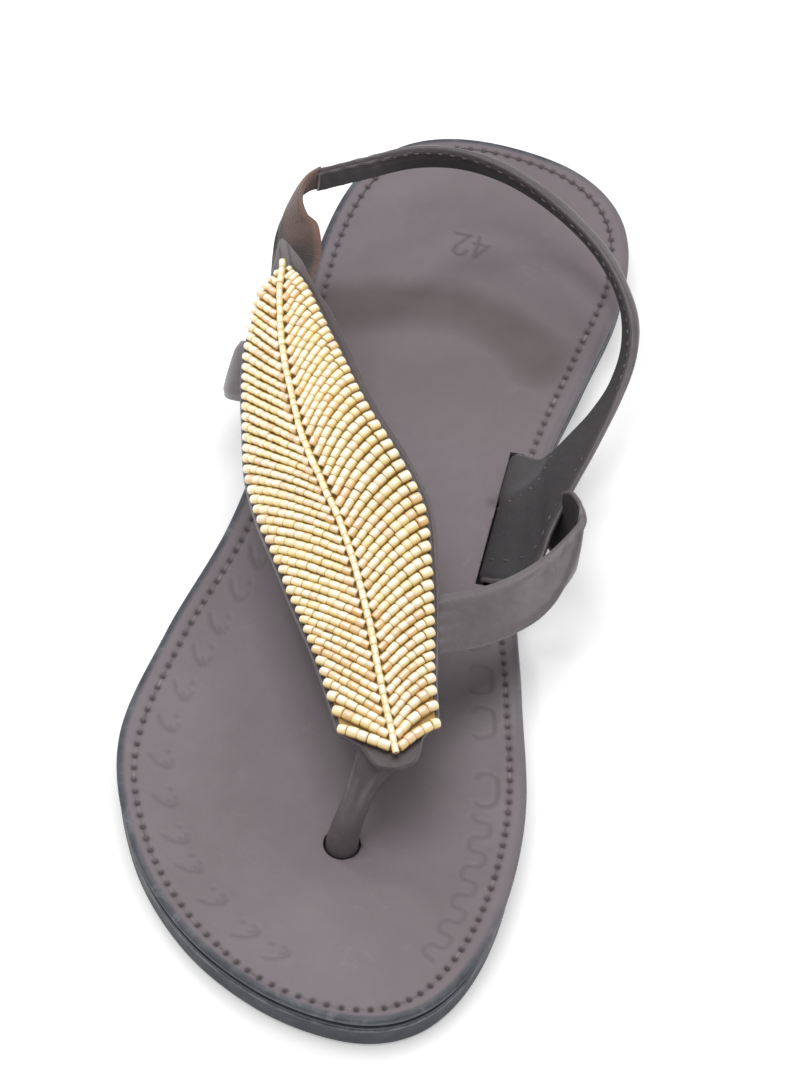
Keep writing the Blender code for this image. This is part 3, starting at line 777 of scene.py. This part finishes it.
def strap_pieces(looks):
    """The straps, and each one's band by name for the stitches."""
    straps = (
        ("lateral_strap", Band(LATERAL_STRAP, STRAP_THICK), lateral_shape, "strap", "lining", 20),
        ("medial_strap", Band(MEDIAL_STRAP, STRAP_THICK, turned=-1), medial_shape, "strap", "lining", 20),
        ("sling", Band(SLING, SLING_THICK), sling_shape, "strap", "lining", 56),
        ("rear_tab", Band(TAB, TAB_THICK, turned=-1), tab_shape, "suede", "suede", 20),
    )
    for name, band, shape, face, back, across in straps:
        band.piece(name, looks, shape, across, face, back)
    return {name: band for name, band, *_ in straps}


POST_STEP, POST_SIDES = 0.8, 64
PLEATS_GROW = (20.0, 32.0)  # the post is pleated from here up
PLEATS = ((0.03, 9, 0), (0.02, 5, 1))  # share of the radius, number round the post, phase


def post_piece(looks):
    """The toe post, pleated towards the leaf."""
    rows = resample(POST, POST_STEP)
    centre, high = rows[:, :3], rows[:, 2, None]
    ahead = unit(np.gradient(centre, axis=0))
    wide = unit(np.array((1.0, 0, 0)) - ahead * ahead[:, :1])
    back = np.cross(ahead, wide)
    turns = 2 * pi * np.arange(POST_SIDES) / POST_SIDES
    pleat = soft_step(*PLEATS_GROW, high) * sum(deep * np.sin(k * turns + turn) for deep, k, turn in PLEATS)
    swell = 1 + pleat
    points = (centre[:, None] + wide[:, None] * (np.cos(turns) * swell * rows[:, 3, None] / 2)[..., None]
              + back[:, None] * (np.sin(turns) * swell * rows[:, 4, None] / 2)[..., None])
    # Painted light and shade on the pleats; darker towards the top, where it goes in under the leaf.
    tone = np.clip(0.12 + 5 * pleat - 0.3 * soft_step(27.0, 33.0, high), -0.5, 1)
    piece("toe_post", points, tube_faces(len(rows), len(turns)), [looks["strap"]], "upper",
          layers={"tone": tone})


# --- leaf ---


def leaf_at(along):
    return curve_at(LEAF[:, ALONG], LEAF, along)


def beads_reach(along, side):
    """How far the beadwork reaches from the midrib, to the lateral (-1) or medial (1) side."""
    along = np.clip(along, 0.0, BEADS_LONG)
    row = leaf_at(along)
    return row[..., MEDIAL] - row[..., RIB] if side > 0 else row[..., RIB] - row[..., LATERAL]


def leather_reach(along, side):
    """How far the leather carrier reaches: a border past the beadwork, and narrow at both ends."""
    along = np.asarray(along, float)
    border = curve_at(*(BORDER_MEDIAL if side > 0 else BORDER_LATERAL), along)
    past = np.clip((along - LEATHER_TURN) / (LEATHER_FRONT - LEATHER_TURN), 0, 1)
    front = (beads_reach(np.minimum(along, LEATHER_TURN), side) + border) * curve_at(*LEATHER_NARROW, past)
    share = np.clip((along - LEATHER_REAR) / (LEATHER_TAPER - LEATHER_REAR), 0, 1)
    rear = (beads_reach(np.maximum(along, LEATHER_TAPER), side) + border) * share**0.9
    return np.where(along < LEATHER_TAPER, rear, front)


def leaf_point(along, reach, lift=0.0):
    """Points on the leather, `reach` to the medial side of the midrib, raised along z by lift."""
    along, reach = np.broadcast_arrays(np.asarray(along, float), np.asarray(reach, float))
    row = leaf_at(along)
    place = LEAF_REAR + LEAF_AHEAD * along[..., None] + LEAF_ACROSS * (row[..., RIB] + reach)[..., None]
    high = row[..., CREST] + reach * (row[..., TILT] + reach * row[..., BOW]) + lift
    return np.concatenate((place, high[..., None]), axis=-1)


RIM_ROUND = 0.5  # the leather's rim bulges this far
CREASE_AT, CREASE_WIDE, CREASE_DEEP = 0.55, 0.3, 0.2  # a crease on the border, beside the beads
LEAF_STATIONS, LEAF_COLUMNS = 320, 60


def leaf_piece(looks):
    """The leather that carries the beads, with a rounded rim and a crease beside it."""
    even = np.arange(LEAF_STATIONS + 1) / LEAF_STATIONS
    share = 0.35 * (1 - np.cos(pi * even)) / 2 + 0.65 * even  # closer together at both ends
    along = LEATHER_REAR + 0.02 + (LEATHER_FRONT - LEATHER_REAR - 0.04) * share
    columns = section(np.sin(pi / 2 * np.linspace(-1, 1, LEAF_COLUMNS + 1)))
    lines, tones = [], []
    for out, beyond, high, _ in columns:
        side, bulge = 1 if out > 0 else -1, RIM_ROUND * beyond
        reach = side * np.abs(out) * leather_reach(along, side)
        border = np.abs(reach) - beads_reach(along, side)
        crease = smooth_bump(border, CREASE_AT, CREASE_WIDE) * (high == 1.0)
        lift = LEAF_THICK / 2 * (high - 1) - CREASE_DEEP * crease
        lines.append(leaf_point(along, reach + bulge, lift))
        tones.append(0.06 + 0.2 * (beyond != 0.0) - 0.25 * crease + 0.35 * (1 - soft_step(-6.0, 8.0, along))
                     - 0.2 * soft_step(140.0, 150.0, along))
    skin("leaf_leather", columns, lines, tones, [looks["strap"], looks["lining"]])


# --- beads ---

# Distance along the midrib between one row and the next: places along it, and the distances there.
PITCH_LATERAL = ((0, 15, 60, 75, 110, 150), (3.3, 3.7, 3.75, 3.15, 3.1, 3.2))
PITCH_MEDIAL = ((0, 15, 50, 75, 110, 150), (3.3, 3.7, 3.7, 3.1, 3.05, 3.1))
ROW_FIRST = 2.0  # where the first row leaves the midrib
BEAD_WIDE_RIB = 1.85
BEAD_NARROWEST, BEAD_WIDEST = 1.7, 2.75
BEAD_LONG, BEAD_LONG_RIB = (2.1, 3.2), (2.2, 3.2)
BEAD_PROFILE = (  # along the hole, and out from it, as shares of half the length and of the radius
    (-0.88, 0.28), (-0.97, 0.36), (-1.0, 0.60), (-0.96, 0.84), (-0.84, 0.97), (0.0, 1.0),
    (0.84, 0.97), (0.96, 0.84), (1.0, 0.60), (0.97, 0.36), (0.88, 0.28),
)
BEAD_SIDES = 12
BEAD_FILL = 0.985  # share of its place on the thread that a bead takes up
BEAD_SHIFT, BEAD_TURN = 0.04, 0.025  # spread of the beads' places, and of their directions
BEAD_TONES, ROW_TONE = (0.05, 0.95), 0.07  # range of the beads' tones, and the spread between rows


def bead_roots(pitch, last):
    """Where the rows leave the midrib."""
    roots = [ROW_FIRST]
    while roots[-1] < last:
        roots.append(roots[-1] + np.interp(roots[-1], *pitch))
    return ROW_FIRST + (np.array(roots) - ROW_FIRST) * (last - ROW_FIRST) / (roots[-1] - ROW_FIRST)


def row_place(root, out, side):
    """Where a row of beads runs, along and across, at this share of its way out from the midrib."""
    sweep = leaf_at(root)[..., SWEEP_MEDIAL if side > 0 else SWEEP_LATERAL]
    lean = 1.5 * out - 0.5 * out**2 if side > 0 else out
    return root - sweep * lean, side * out * beads_reach(root - sweep, side)


class Beads:
    """Beads gathered into one mesh."""

    def __init__(self):
        self.points, self.faces, self.tone, self.up = [], [], [], []

    def add(self, centre, ahead, up, long, wide, tone):
        ahead = unit(ahead)
        side = unit(np.cross(ahead, up))
        up = np.cross(side, ahead)
        turns = 2 * pi * np.arange(BEAD_SIDES) / BEAD_SIDES
        ring = np.cos(turns)[:, None] * side + np.sin(turns)[:, None] * up
        profile = np.array(BEAD_PROFILE)
        points = centre + profile[:, None, :1] * long / 2 * ahead + profile[:, None, 1:] * wide / 2 * ring
        start = len(self.points) * BEAD_SIDES * len(profile)
        self.points.append(points.reshape(-1, 3))
        self.faces.append(ring_faces(len(profile), BEAD_SIDES, start))
        self.tone.append(np.full(points.shape[0] * BEAD_SIDES, tone))
        # How far each point of a bead faces up from the leather; the glass paints shade and highlight by it.
        self.up.append((profile[:, 1:] * np.sin(turns)).reshape(-1))

    def finish(self, name, looks):
        piece(name, np.concatenate(self.points), np.concatenate(self.faces), [looks["beads"]],
              "bead_panel",
              layers={"tone": np.concatenate(self.tone), "up": np.concatenate(self.up)})


def string_beads(beads, path, normals, wide, longs, first_tone=None, last_tone=None, amber=0.0):
    """Beads threaded on a path, end to end; wide is their width at each point of it.

    Tones are drawn at random, those of the first and the last bead from a range of their own.
    """
    length = travelled(path)
    total = length[-1]
    sizes = []
    while sum(sizes) < total - longs[0] * 0.6:
        sizes.append(rng.uniform(*longs))
    if not sizes:
        return
    sizes = np.array(sizes) * total / sum(sizes)

    def at(place, values):
        return np.array([np.interp(place, length, values[:, k]) for k in range(3)])

    row_tone = rng.normal(0, ROW_TONE)
    place = 0.0
    for size in sizes:
        middle = place + size / 2
        thick = np.interp(middle, length, wide)
        lie = at(place + size, path) - at(place, path) + rng.normal(0, BEAD_TURN, 3) * size
        tone = np.clip(rng.uniform(*BEAD_TONES) + row_tone + amber, 0, 0.95)
        if first_tone and place < sizes[0]:
            tone = rng.uniform(*first_tone)
        if last_tone and place + 1.5 * size > total:
            tone = rng.uniform(*last_tone)
        beads.add(at(middle, path) + rng.normal(0, BEAD_SHIFT, 3), lie, at(middle, normals),
                  size * BEAD_FILL, thick * rng.uniform(0.96, 1.04), tone)
        place += size


def leaf_normal(along, reach):
    step = 0.5
    first = leaf_point(along + step, reach) - leaf_point(along - step, reach)
    second = leaf_point(along, reach + step) - leaf_point(along, reach - step)
    return unit(np.cross(first, second))


def row_places(root, side):
    """Points, normals and reach of a row of beads, on the leather; None where it is too short."""
    along, reach = row_place(root, np.linspace(0.0, 1.0, 48), side)
    keep = (along > 0.3) & (np.abs(reach) > 0.75)
    along, reach = along[keep], reach[keep]
    if len(along) < 4:
        return None
    return leaf_point(along, reach), leaf_normal(along, reach), np.abs(reach)


def bead_pieces(looks):
    for side, pitch, short, name in ((-1, PITCH_LATERAL, 1.2, "beads_lateral"),
                                     (1, PITCH_MEDIAL, 0.3, "beads_medial")):
        beads = Beads()
        rows = [row_places(root, side) for root in bead_roots(pitch, BEADS_LONG - short)]
        rows = [row for row in rows if row is not None]
        for k, (places, normals, reach) in enumerate(rows):
            gaps = []
            for other, _, _ in rows[max(k - 1, 0):k] + rows[k + 1:k + 2]:
                gaps.append(np.linalg.norm(places[:, None] - other[None], axis=2).min(axis=1))
            gap = np.convolve(np.pad(np.mean(gaps, axis=0), 4, mode="edge"), np.ones(9) / 9, "valid")
            wide = np.clip(0.93 * gap, BEAD_NARROWEST, BEAD_WIDEST)
            past = np.clip((reach - (reach.max() - 2.4)) / 2.4, 0, 1)  # the last bead bends down
            lift = wide / 2 + 0.3 - 0.7 * past**2
            # The first bead by the midrib and the last ones at the medial rim take pinker and amber tones,
            # painted shade under the raised midrib and at the rim where they face away from the light.
            string_beads(beads, places + normals * lift[:, None], normals, wide, BEAD_LONG, (0.8, 1.0),
                         (0.4, 1.0) if side > 0 else None, 0.2 * (k > 0.75 * len(rows)))
        beads.finish(name, looks)
    beads = Beads()
    along = np.linspace(0.8, BEADS_LONG + 0.6, 300)
    normal = leaf_normal(along, np.zeros_like(along))
    path = leaf_point(along, np.zeros_like(along)) + normal * (BEAD_WIDE_RIB / 2 + 1.35)
    string_beads(beads, path, normal, np.full(len(path), BEAD_WIDE_RIB), BEAD_LONG_RIB, amber=-0.25)
    beads.finish("beads_midrib", looks)
    backing_piece(looks)


BACKING_FROM, BACKING_TO, BACKING_SHARE = 2.4, BEADS_LONG - 1.0, 0.965  # along, and across the beadwork
BACKING_TOP, BACKING_UNDER = 0.62, 0.12  # over the leather
BACKING_ROWS, BACKING_COLUMNS = 161, 41


def backing_piece(looks):
    """The gilt cloth under the beads, a thin closed sheet that runs as the rows do."""
    roots = np.linspace(BACKING_FROM, BACKING_TO, BACKING_ROWS)
    shares = np.linspace(-BACKING_SHARE, BACKING_SHARE, BACKING_COLUMNS)
    lines = []
    for lift, order in ((BACKING_TOP, shares), (BACKING_UNDER, shares[::-1])):
        for share in order:
            out = abs(share)
            along, reach = row_place(roots, out, 1 if share > 0 else -1)
            lines.append(leaf_point(np.maximum(along, 0.4), reach, lift * (1 - out**8 * 0.6)))
    count = len(lines)
    faces = list(ring_faces(len(roots), count))
    for station, turned in ((0, -1), (len(roots) - 1, 1)):
        for c in range(len(shares) - 1):
            corners = [c, c + 1, count - c - 2, count - c - 1]
            faces.append([station * count + corner for corner in corners[::turned]])
    piece("bead_backing", np.stack(lines, axis=1), faces, [looks["backing"]], "bead_panel")


# --- stitches ---


class Thread:
    """Stitches gathered into one mesh, each a short capsule that dips at its ends."""

    RINGS = np.array(((-1.0, 0.25), (-0.86, 0.7), (-0.4, 1.0), (0.4, 1.0), (0.86, 0.7), (1.0, 0.25)))
    SIDES = 8

    def __init__(self):
        self.points, self.faces, self.tone = [], [], []

    def add(self, start, end, up, wide, high, tone):
        centre, half = (start + end) / 2, np.linalg.norm(end - start) / 2
        ahead = unit(end - start)
        side = unit(np.cross(up, ahead))
        turns = 2 * pi * np.arange(self.SIDES) / self.SIDES
        ring = np.cos(turns)[:, None] * side * wide + np.sin(turns)[:, None] * up * high
        shape = (centre + self.RINGS[:, None, :1] * half * ahead + self.RINGS[:, None, 1:] * ring[None]
                 - (high * 1.1 * self.RINGS[:, 0] ** 4)[:, None, None] * up)
        self.faces += tube_faces(len(self.RINGS), self.SIDES, len(self.points) * self.SIDES * len(self.RINGS))
        self.points.append(shape.reshape(-1, 3))
        self.tone.append(np.full(self.SIDES * len(self.RINGS), tone))

    def finish(self, name, looks, replaces, slot):
        piece(name, np.concatenate(self.points), self.faces, [looks["thread"]], replaces,
              layers={"tone": np.concatenate(self.tone)})


# Half the width and half the height of a stitch.
SEAM_STITCH = (0.36, 0.26)
STRAP_STITCH = (0.30, 0.24)
SEAM_SUNK = 0.33  # the middles of the seam's stitches lie this far under the footbed's top


def seam_thread(looks):
    """Thread of the footbed's seam, a stitch between each two needle holes, darker round the heel."""
    thread = Thread()
    turns = stitch_turns()
    marks = stitch_line(turns)
    places = np.column_stack((marks, sole_top(marks[:, 1]) - SEAM_SUNK))
    for turn, start, end in zip(turns, places, np.roll(places, -1, axis=0)):
        inward = (end - start) * 0.16
        tone = 0.22 + 0.36 * soft_step(30.0, 60.0, min(turn, 360 - turn)) + rng.normal(0, 0.06)
        thread.add(start + inward, end - inward, np.array((0, 0, 1.0)), *SEAM_STITCH, tone)
    thread.finish("seam_thread", looks, "footbed", "footbed_leather")


# Stitches on the straps: band, side (1 face, -1 back), first and last place along, first and last share
# across, a stitch's length (0: one that spans both places, in a row across), step, tone.
STRAP_SEAMS = (
    ("sling", -1, 60.0, 172.0, 0.13, 0.13, 1.5, 3.4, 0.34),
    ("sling", -1, 2.0, 24.0, 0.56, 0.94, 1.3, 3.2, 0.40),
    ("sling", -1, 4.0, 40.0, 0.16, 0.16, 1.3, 3.4, 0.30),
    ("lateral_strap", 1, 1.6, 1.8, 0.08, 0.94, 0.0, 1.9, 0.1),
    ("medial_strap", 1, 1.8, 2.0, 0.06, 0.94, 0.0, 1.9, 0.1),
)


def strap_thread(looks, bands):
    """Seams of the sling, and the stitches that hold the side straps to the leaf."""
    thread = Thread()
    for name, face, first, last, share, share_end, long, step, tone in STRAP_SEAMS:
        band = bands[name]
        lift = face * (band.thick / 2 + 0.05)
        if long:
            starts = np.arange(first, min(last, band.length[-1] - 4), step)
            shares = share + (share_end - share) * (starts - first) / (last - first)
            low, out = band.place(starts, shares, lift)
            high, _ = band.place(starts + long, shares, lift)
        else:
            shares = np.arange(share, share_end, step / band.wide[0])
            low, out = band.place(np.full(len(shares), first - 1.1), shares, lift + 0.3)
            high, _ = band.place(np.full(len(shares), last + 1.1), shares + 0.02, lift + 0.3)
        for start, end, up in zip(low, high, face * out):
            thread.add(start, end, up, *STRAP_STITCH, tone + rng.normal(0, 0.06))
    thread.finish("strap_thread", looks, "upper", "strap_leather")


# --- materials ---


class Look:
    """One material, with short ways to add nodes to its tree."""

    def __init__(self, name, rough):
        self.material = bpy.data.materials.new(name)
        self.material.use_nodes = True
        self.tree = self.material.node_tree
        self.shader = self.tree.nodes["Principled BSDF"]
        self.place = self.tree.nodes.new("ShaderNodeTexCoord").outputs["Object"]
        self.fill(self.shader, {"Roughness": rough})

    def fill(self, node, values):
        """The node, with each input set to a number or colour, or linked to another node's output."""
        for key, value in values.items():
            socket = node.inputs[key]
            if isinstance(value, bpy.types.NodeSocket):
                self.tree.links.new(value, socket)
            else:
                socket.default_value = (*value, 1) if isinstance(value, tuple) else value
        return node

    def add(self, kind, values):
        return self.fill(self.tree.nodes.new("ShaderNode" + kind), values)

    def finish(self, values):
        """The material, once its shader's inputs are filled."""
        self.fill(self.shader, values)
        return self.material

    def noise(self, scale, detail=4.0, rough=0.6, distortion=0.0):
        return self.add("TexNoise", {"Scale": scale, "Detail": detail, "Roughness": rough,
                                     "Distortion": distortion, "Vector": self.place}).outputs["Fac"]

    def cells(self, scale):
        return self.add("TexVoronoi", {"Scale": scale, "Vector": self.place}).outputs["Distance"]

    def layer(self, name):
        """Values that a mesh holds at its points."""
        made = self.add("Attribute", {})
        made.attribute_name = name
        return made.outputs["Fac"]

    def ramp(self, source, *stops):
        made = self.add("ValToRGB", {"Fac": source})
        elements = made.color_ramp.elements
        while len(elements) < len(stops):
            elements.new(0.5)
        for element, (at, colour) in zip(elements, stops):
            element.position = at
            element.color = (*colour, 1)
        return made.outputs["Color"]

    def mix(self, share, first, second, blend="MIX"):
        made = self.add("Mix", {})
        made.data_type = "RGBA"
        made.blend_type = blend
        return self.fill(made, {0: share, 6: first, 7: second}).outputs[2]  # its colour sockets

    def math(self, operation, first, second):
        made = self.add("Math", {0: first, 1: second})
        made.operation = operation
        return made.outputs[0]

    def plus(self, first, second):
        return self.math("ADD", first, second)

    def times(self, first, second):
        return self.math("MULTIPLY", first, second)

    def span(self, source, low, high, to_low=0.0, to_high=1.0):
        return self.add("MapRange", {"Value": source, "From Min": low, "From Max": high,
                                     "To Min": to_low, "To Max": to_high}).outputs["Result"]

    def cloudy(self, low, high, scale, detail, rough=0.6):
        """Clouds of this scale, from low to high."""
        return self.span(self.noise(scale, detail, rough), 0.3, 0.7, low, high)

    def bump(self, height, distance, strength=1.0, under=None):
        values = {"Height": height, "Distance": distance, "Strength": strength}
        if under is not None:
            values["Normal"] = under
        return self.add("Bump", values).outputs["Normal"]


def leather(name, dark, light, rough, grain=0.00006, sheen=0.0):
    """Dyed leather: its tone by place and cloudy, fine pebbled grain, uneven gloss, faint creases."""
    look = Look(name, rough)
    tone = look.plus(look.layer("tone"), look.cloudy(-0.14, 0.14, 22, 3, 0.5))
    tone = look.plus(tone, look.cloudy(-0.06, 0.06, 420, 3))
    pebble = look.plus(look.times(look.cells(1500), 0.7), look.times(look.noise(2600, 3), 0.5))
    creases = look.bump(look.noise(150, 4, 0.65, 0.6), 0.0003, 0.2)
    return look.finish({
        "Base Color": look.ramp(tone, (0.0, dark), (1.0, light)),
        "Roughness": look.cloudy(rough - 0.08, rough + 0.1, 60, 4),
        "Sheen Weight": sheen,
        "Normal": look.bump(pebble, grain, under=creases),
    })


def footbed_leather():
    """Dusty grey-violet leather, slate and rubbed at the edge, dark in holes and tooling; painted shade at
    heel and waist.
    """
    look = Look("footbed_leather", 0.55)
    colour = look.ramp(look.noise(16, 5, 0.65, 0.4), (0.28, (0.180, 0.147, 0.162)),
                       (0.5, (0.204, 0.171, 0.187)), (0.74, (0.226, 0.196, 0.209)))
    mottle = look.span(look.noise(240, 4, 0.7), 0.35, 0.7, 0.0, 0.10)
    scuffs = look.span(look.noise(75, 5, 0.75, 1.2), 0.60, 0.72, 0.0, 0.30)
    # The shade layer is painted shadow of the sling across the heel and painted shade at the waist.
    shade = look.times(look.layer("shade"), look.cloudy(0.62, 0.98, 38, 4, 0.65))
    wall = look.ramp(look.noise(130, 4, 0.7, 0.8), (0.35, (0.045, 0.050, 0.064)),
                     (0.55, (0.080, 0.085, 0.102)), (0.72, (0.180, 0.184, 0.200)))
    for share, over in (
        (mottle, (0.10, 0.085, 0.09)),
        (scuffs, (0.27, 0.25, 0.255)),
        (shade, (0.100, 0.077, 0.078)),
        (look.layer("edge"), wall),
        (look.times(look.layer("tool"), 0.30), (0.070, 0.055, 0.060)),
        (look.times(look.layer("mark"), 0.9), (0.022, 0.014, 0.017)),
    ):
        colour = look.mix(share, colour, over)
    grain = look.plus(look.cells(1400), look.noise(2400, 3))
    creases = look.bump(look.noise(90, 5, 0.6, 0.8), 0.0003, 0.25)
    return look.finish({
        "Base Color": colour,
        "Roughness": look.cloudy(0.46, 0.62, 50, 4),
        "Normal": look.bump(grain, 0.00005, 0.4, under=creases),
    })


def rubber():
    """Dark slate rubber with a paler worn line along its upper edge."""
    look = Look("rubber", 0.55)
    colour = look.ramp(look.noise(60, 4, 0.65), (0.3, (0.030, 0.034, 0.043)),
                       (0.55, (0.043, 0.047, 0.058)), (0.8, (0.066, 0.070, 0.082)))
    worn = look.times(look.span(look.layer("rise"), 0.84, 0.93),
                      look.span(look.noise(170, 4, 0.7), 0.36, 0.6, 0.1, 0.8))
    return look.finish({
        "Base Color": look.mix(worn, colour, (0.215, 0.220, 0.245)),
        "Roughness": look.cloudy(0.45, 0.66, 160, 3),
        "Normal": look.bump(look.noise(900, 4), 0.00018, 0.6),
    })


def board():
    """Dark pressed board, streaked paler."""
    look = Look("board", 0.6)
    return look.finish({
        "Base Color": look.ramp(look.noise(110, 4, 0.65, 0.6), (0.32, (0.026, 0.030, 0.042)),
                                (0.6, (0.070, 0.076, 0.098)), (0.75, (0.130, 0.136, 0.160))),
        "Roughness": look.cloudy(0.5, 0.7, 90, 3),
        "Normal": look.bump(look.noise(900, 4), 0.0002, 0.6),
    })


def thread():
    """Waxed thread, from dark reddish to pale by its tone."""
    look = Look("thread", 0.6)
    tone = look.plus(look.layer("tone"), look.cloudy(-0.1, 0.1, 300, 3))
    return look.finish({
        "Base Color": look.ramp(tone, (0.0, (0.030, 0.016, 0.018)), (0.5, (0.150, 0.125, 0.130)),
                                (1.0, (0.42, 0.38, 0.37))),
        "Normal": look.bump(look.noise(3500, 2), 0.0001, 0.6),
    })


def glass():
    """Lined glass, cream and gold on top; painted shade turns it amber down in the gaps, a painted highlight
    runs white along the tops, and a faint painted glow lights it.
    """
    look = Look("glass_beads", 0.22)
    pale = look.ramp(look.layer("tone"), (0.0, (0.96, 0.82, 0.46)), (0.35, (0.97, 0.89, 0.60)),
                     (0.65, (0.98, 0.94, 0.76)), (0.85, (0.96, 0.86, 0.70)), (1.0, (0.80, 0.50, 0.21)))
    # Painted shade and highlight by how far each point faces up.
    up = look.layer("up")
    golden = look.mix(1.0, pale, (0.93, 0.80, 0.48), "MULTIPLY")
    gilt = look.mix(look.span(up, 0.55, 0.90), golden, pale)
    gilt = look.mix(look.span(up, 0.05, 0.60), (0.56, 0.32, 0.075), gilt)
    colour = look.mix(look.span(up, -0.30, 0.15), (0.20, 0.08, 0.014), gilt)
    # Painted highlight: a white streak along each bead's top.
    glint = look.times(look.span(up, 0.86, 0.96), look.span(look.noise(330, 2), 0.40, 0.55, 0.2, 1.0))
    return look.finish({
        "Base Color": look.mix(glint, colour, (1.0, 0.98, 0.93)),
        "Roughness": look.cloudy(0.12, 0.26, 500, 2),
        "Coat Weight": 0.8,
        "Coat Roughness": 0.06,
        # A faint warm glow, painted light that stands in for light through the glass.
        "Emission Color": (1.0, 0.80, 0.42),
        "Emission Strength": 0.07,
    })


def gilt_cloth():
    look = Look("gilt_cloth", 0.6)
    return look.finish({
        "Base Color": look.ramp(look.noise(300, 4), (0.3, (0.42, 0.24, 0.06)), (0.7, (0.62, 0.40, 0.14))),
        "Normal": look.bump(look.noise(1500, 3), 0.0002, 0.6),
    })


def make_looks():
    return {
        "strap": leather("strap_leather", (0.085, 0.070, 0.074), (0.275, 0.248, 0.256), 0.42),
        "lining": leather("lining_leather", (0.014, 0.0125, 0.0140), (0.082, 0.075, 0.080), 0.6),
        "suede": leather("suede", (0.045, 0.036, 0.036), (0.240, 0.135, 0.105), 0.85, 0.0002, 0.3),
        "footbed": footbed_leather(),
        "rubber": rubber(),
        "board": board(),
        "thread": thread(),
        "beads": glass(),
        "backing": gilt_cloth(),
    }


# --- camera, light and floor ---


def camera():
    turn, rise = radians(VIEW_TURN), radians(VIEW_RISE)
    back = Vector((sin(turn) * cos(rise), -cos(turn) * cos(rise), sin(rise)))
    data = bpy.data.cameras.new("camera")
    data.lens = VIEW_LENS
    data.sensor_width = 36.0
    made = add_to_scene("camera", data)
    made.location = VIEW_TARGET + back * VIEW_DISTANCE
    aimed = (-back).to_track_quat("-Z", "Y")
    made.rotation_euler = (aimed @ Quaternion((0, 0, 1), radians(VIEW_ROLL))).to_euler()
    bpy.context.scene.camera = made


def area_light(name, place, size, power):
    """A square light aimed at the middle of the floor."""
    data = bpy.data.lights.new(name, "AREA")
    data.shape = "SQUARE"
    data.size = size
    data.energy = power
    made = add_to_scene(name, data)
    made.location = place
    made.rotation_euler = (-made.location).to_track_quat("-Z", "Y").to_euler()


def floor():
    bpy.ops.mesh.primitive_plane_add(size=6, location=(0, 0, 0))
    made = bpy.context.object
    made.name = "floor"
    white = {"Base Color": (0.9, 0.9, 0.9), "Emission Color": (1, 1, 1), "Emission Strength": 0.30}
    made.data.materials.append(Look("floor", 0.8).finish(white))


def world():
    made = bpy.data.worlds.new("studio")
    bpy.context.scene.world = made
    made.use_nodes = True
    made.node_tree.nodes["Background"].inputs["Color"].default_value = (1, 1, 1, 1)
    made.node_tree.nodes["Background"].inputs["Strength"].default_value = 0.50
    bpy.context.scene.view_settings.view_transform = "Standard"


camera()
floor()
world()
area_light("top", (-0.08, -0.05, 1.4), 0.8, 8.7)
area_light("back", (0.5, 0.9, 1.1), 0.6, 3)
area_light("glint", (-0.55, 0.5, 0.95), 0.16, 1.5)

LOOKS = make_looks()
sole_pieces(LOOKS)
footbed_piece(LOOKS)
seam_thread(LOOKS)
leaf_piece(LOOKS)
post_piece(LOOKS)
strap_thread(LOOKS, strap_pieces(LOOKS))
bead_pieces(LOOKS)
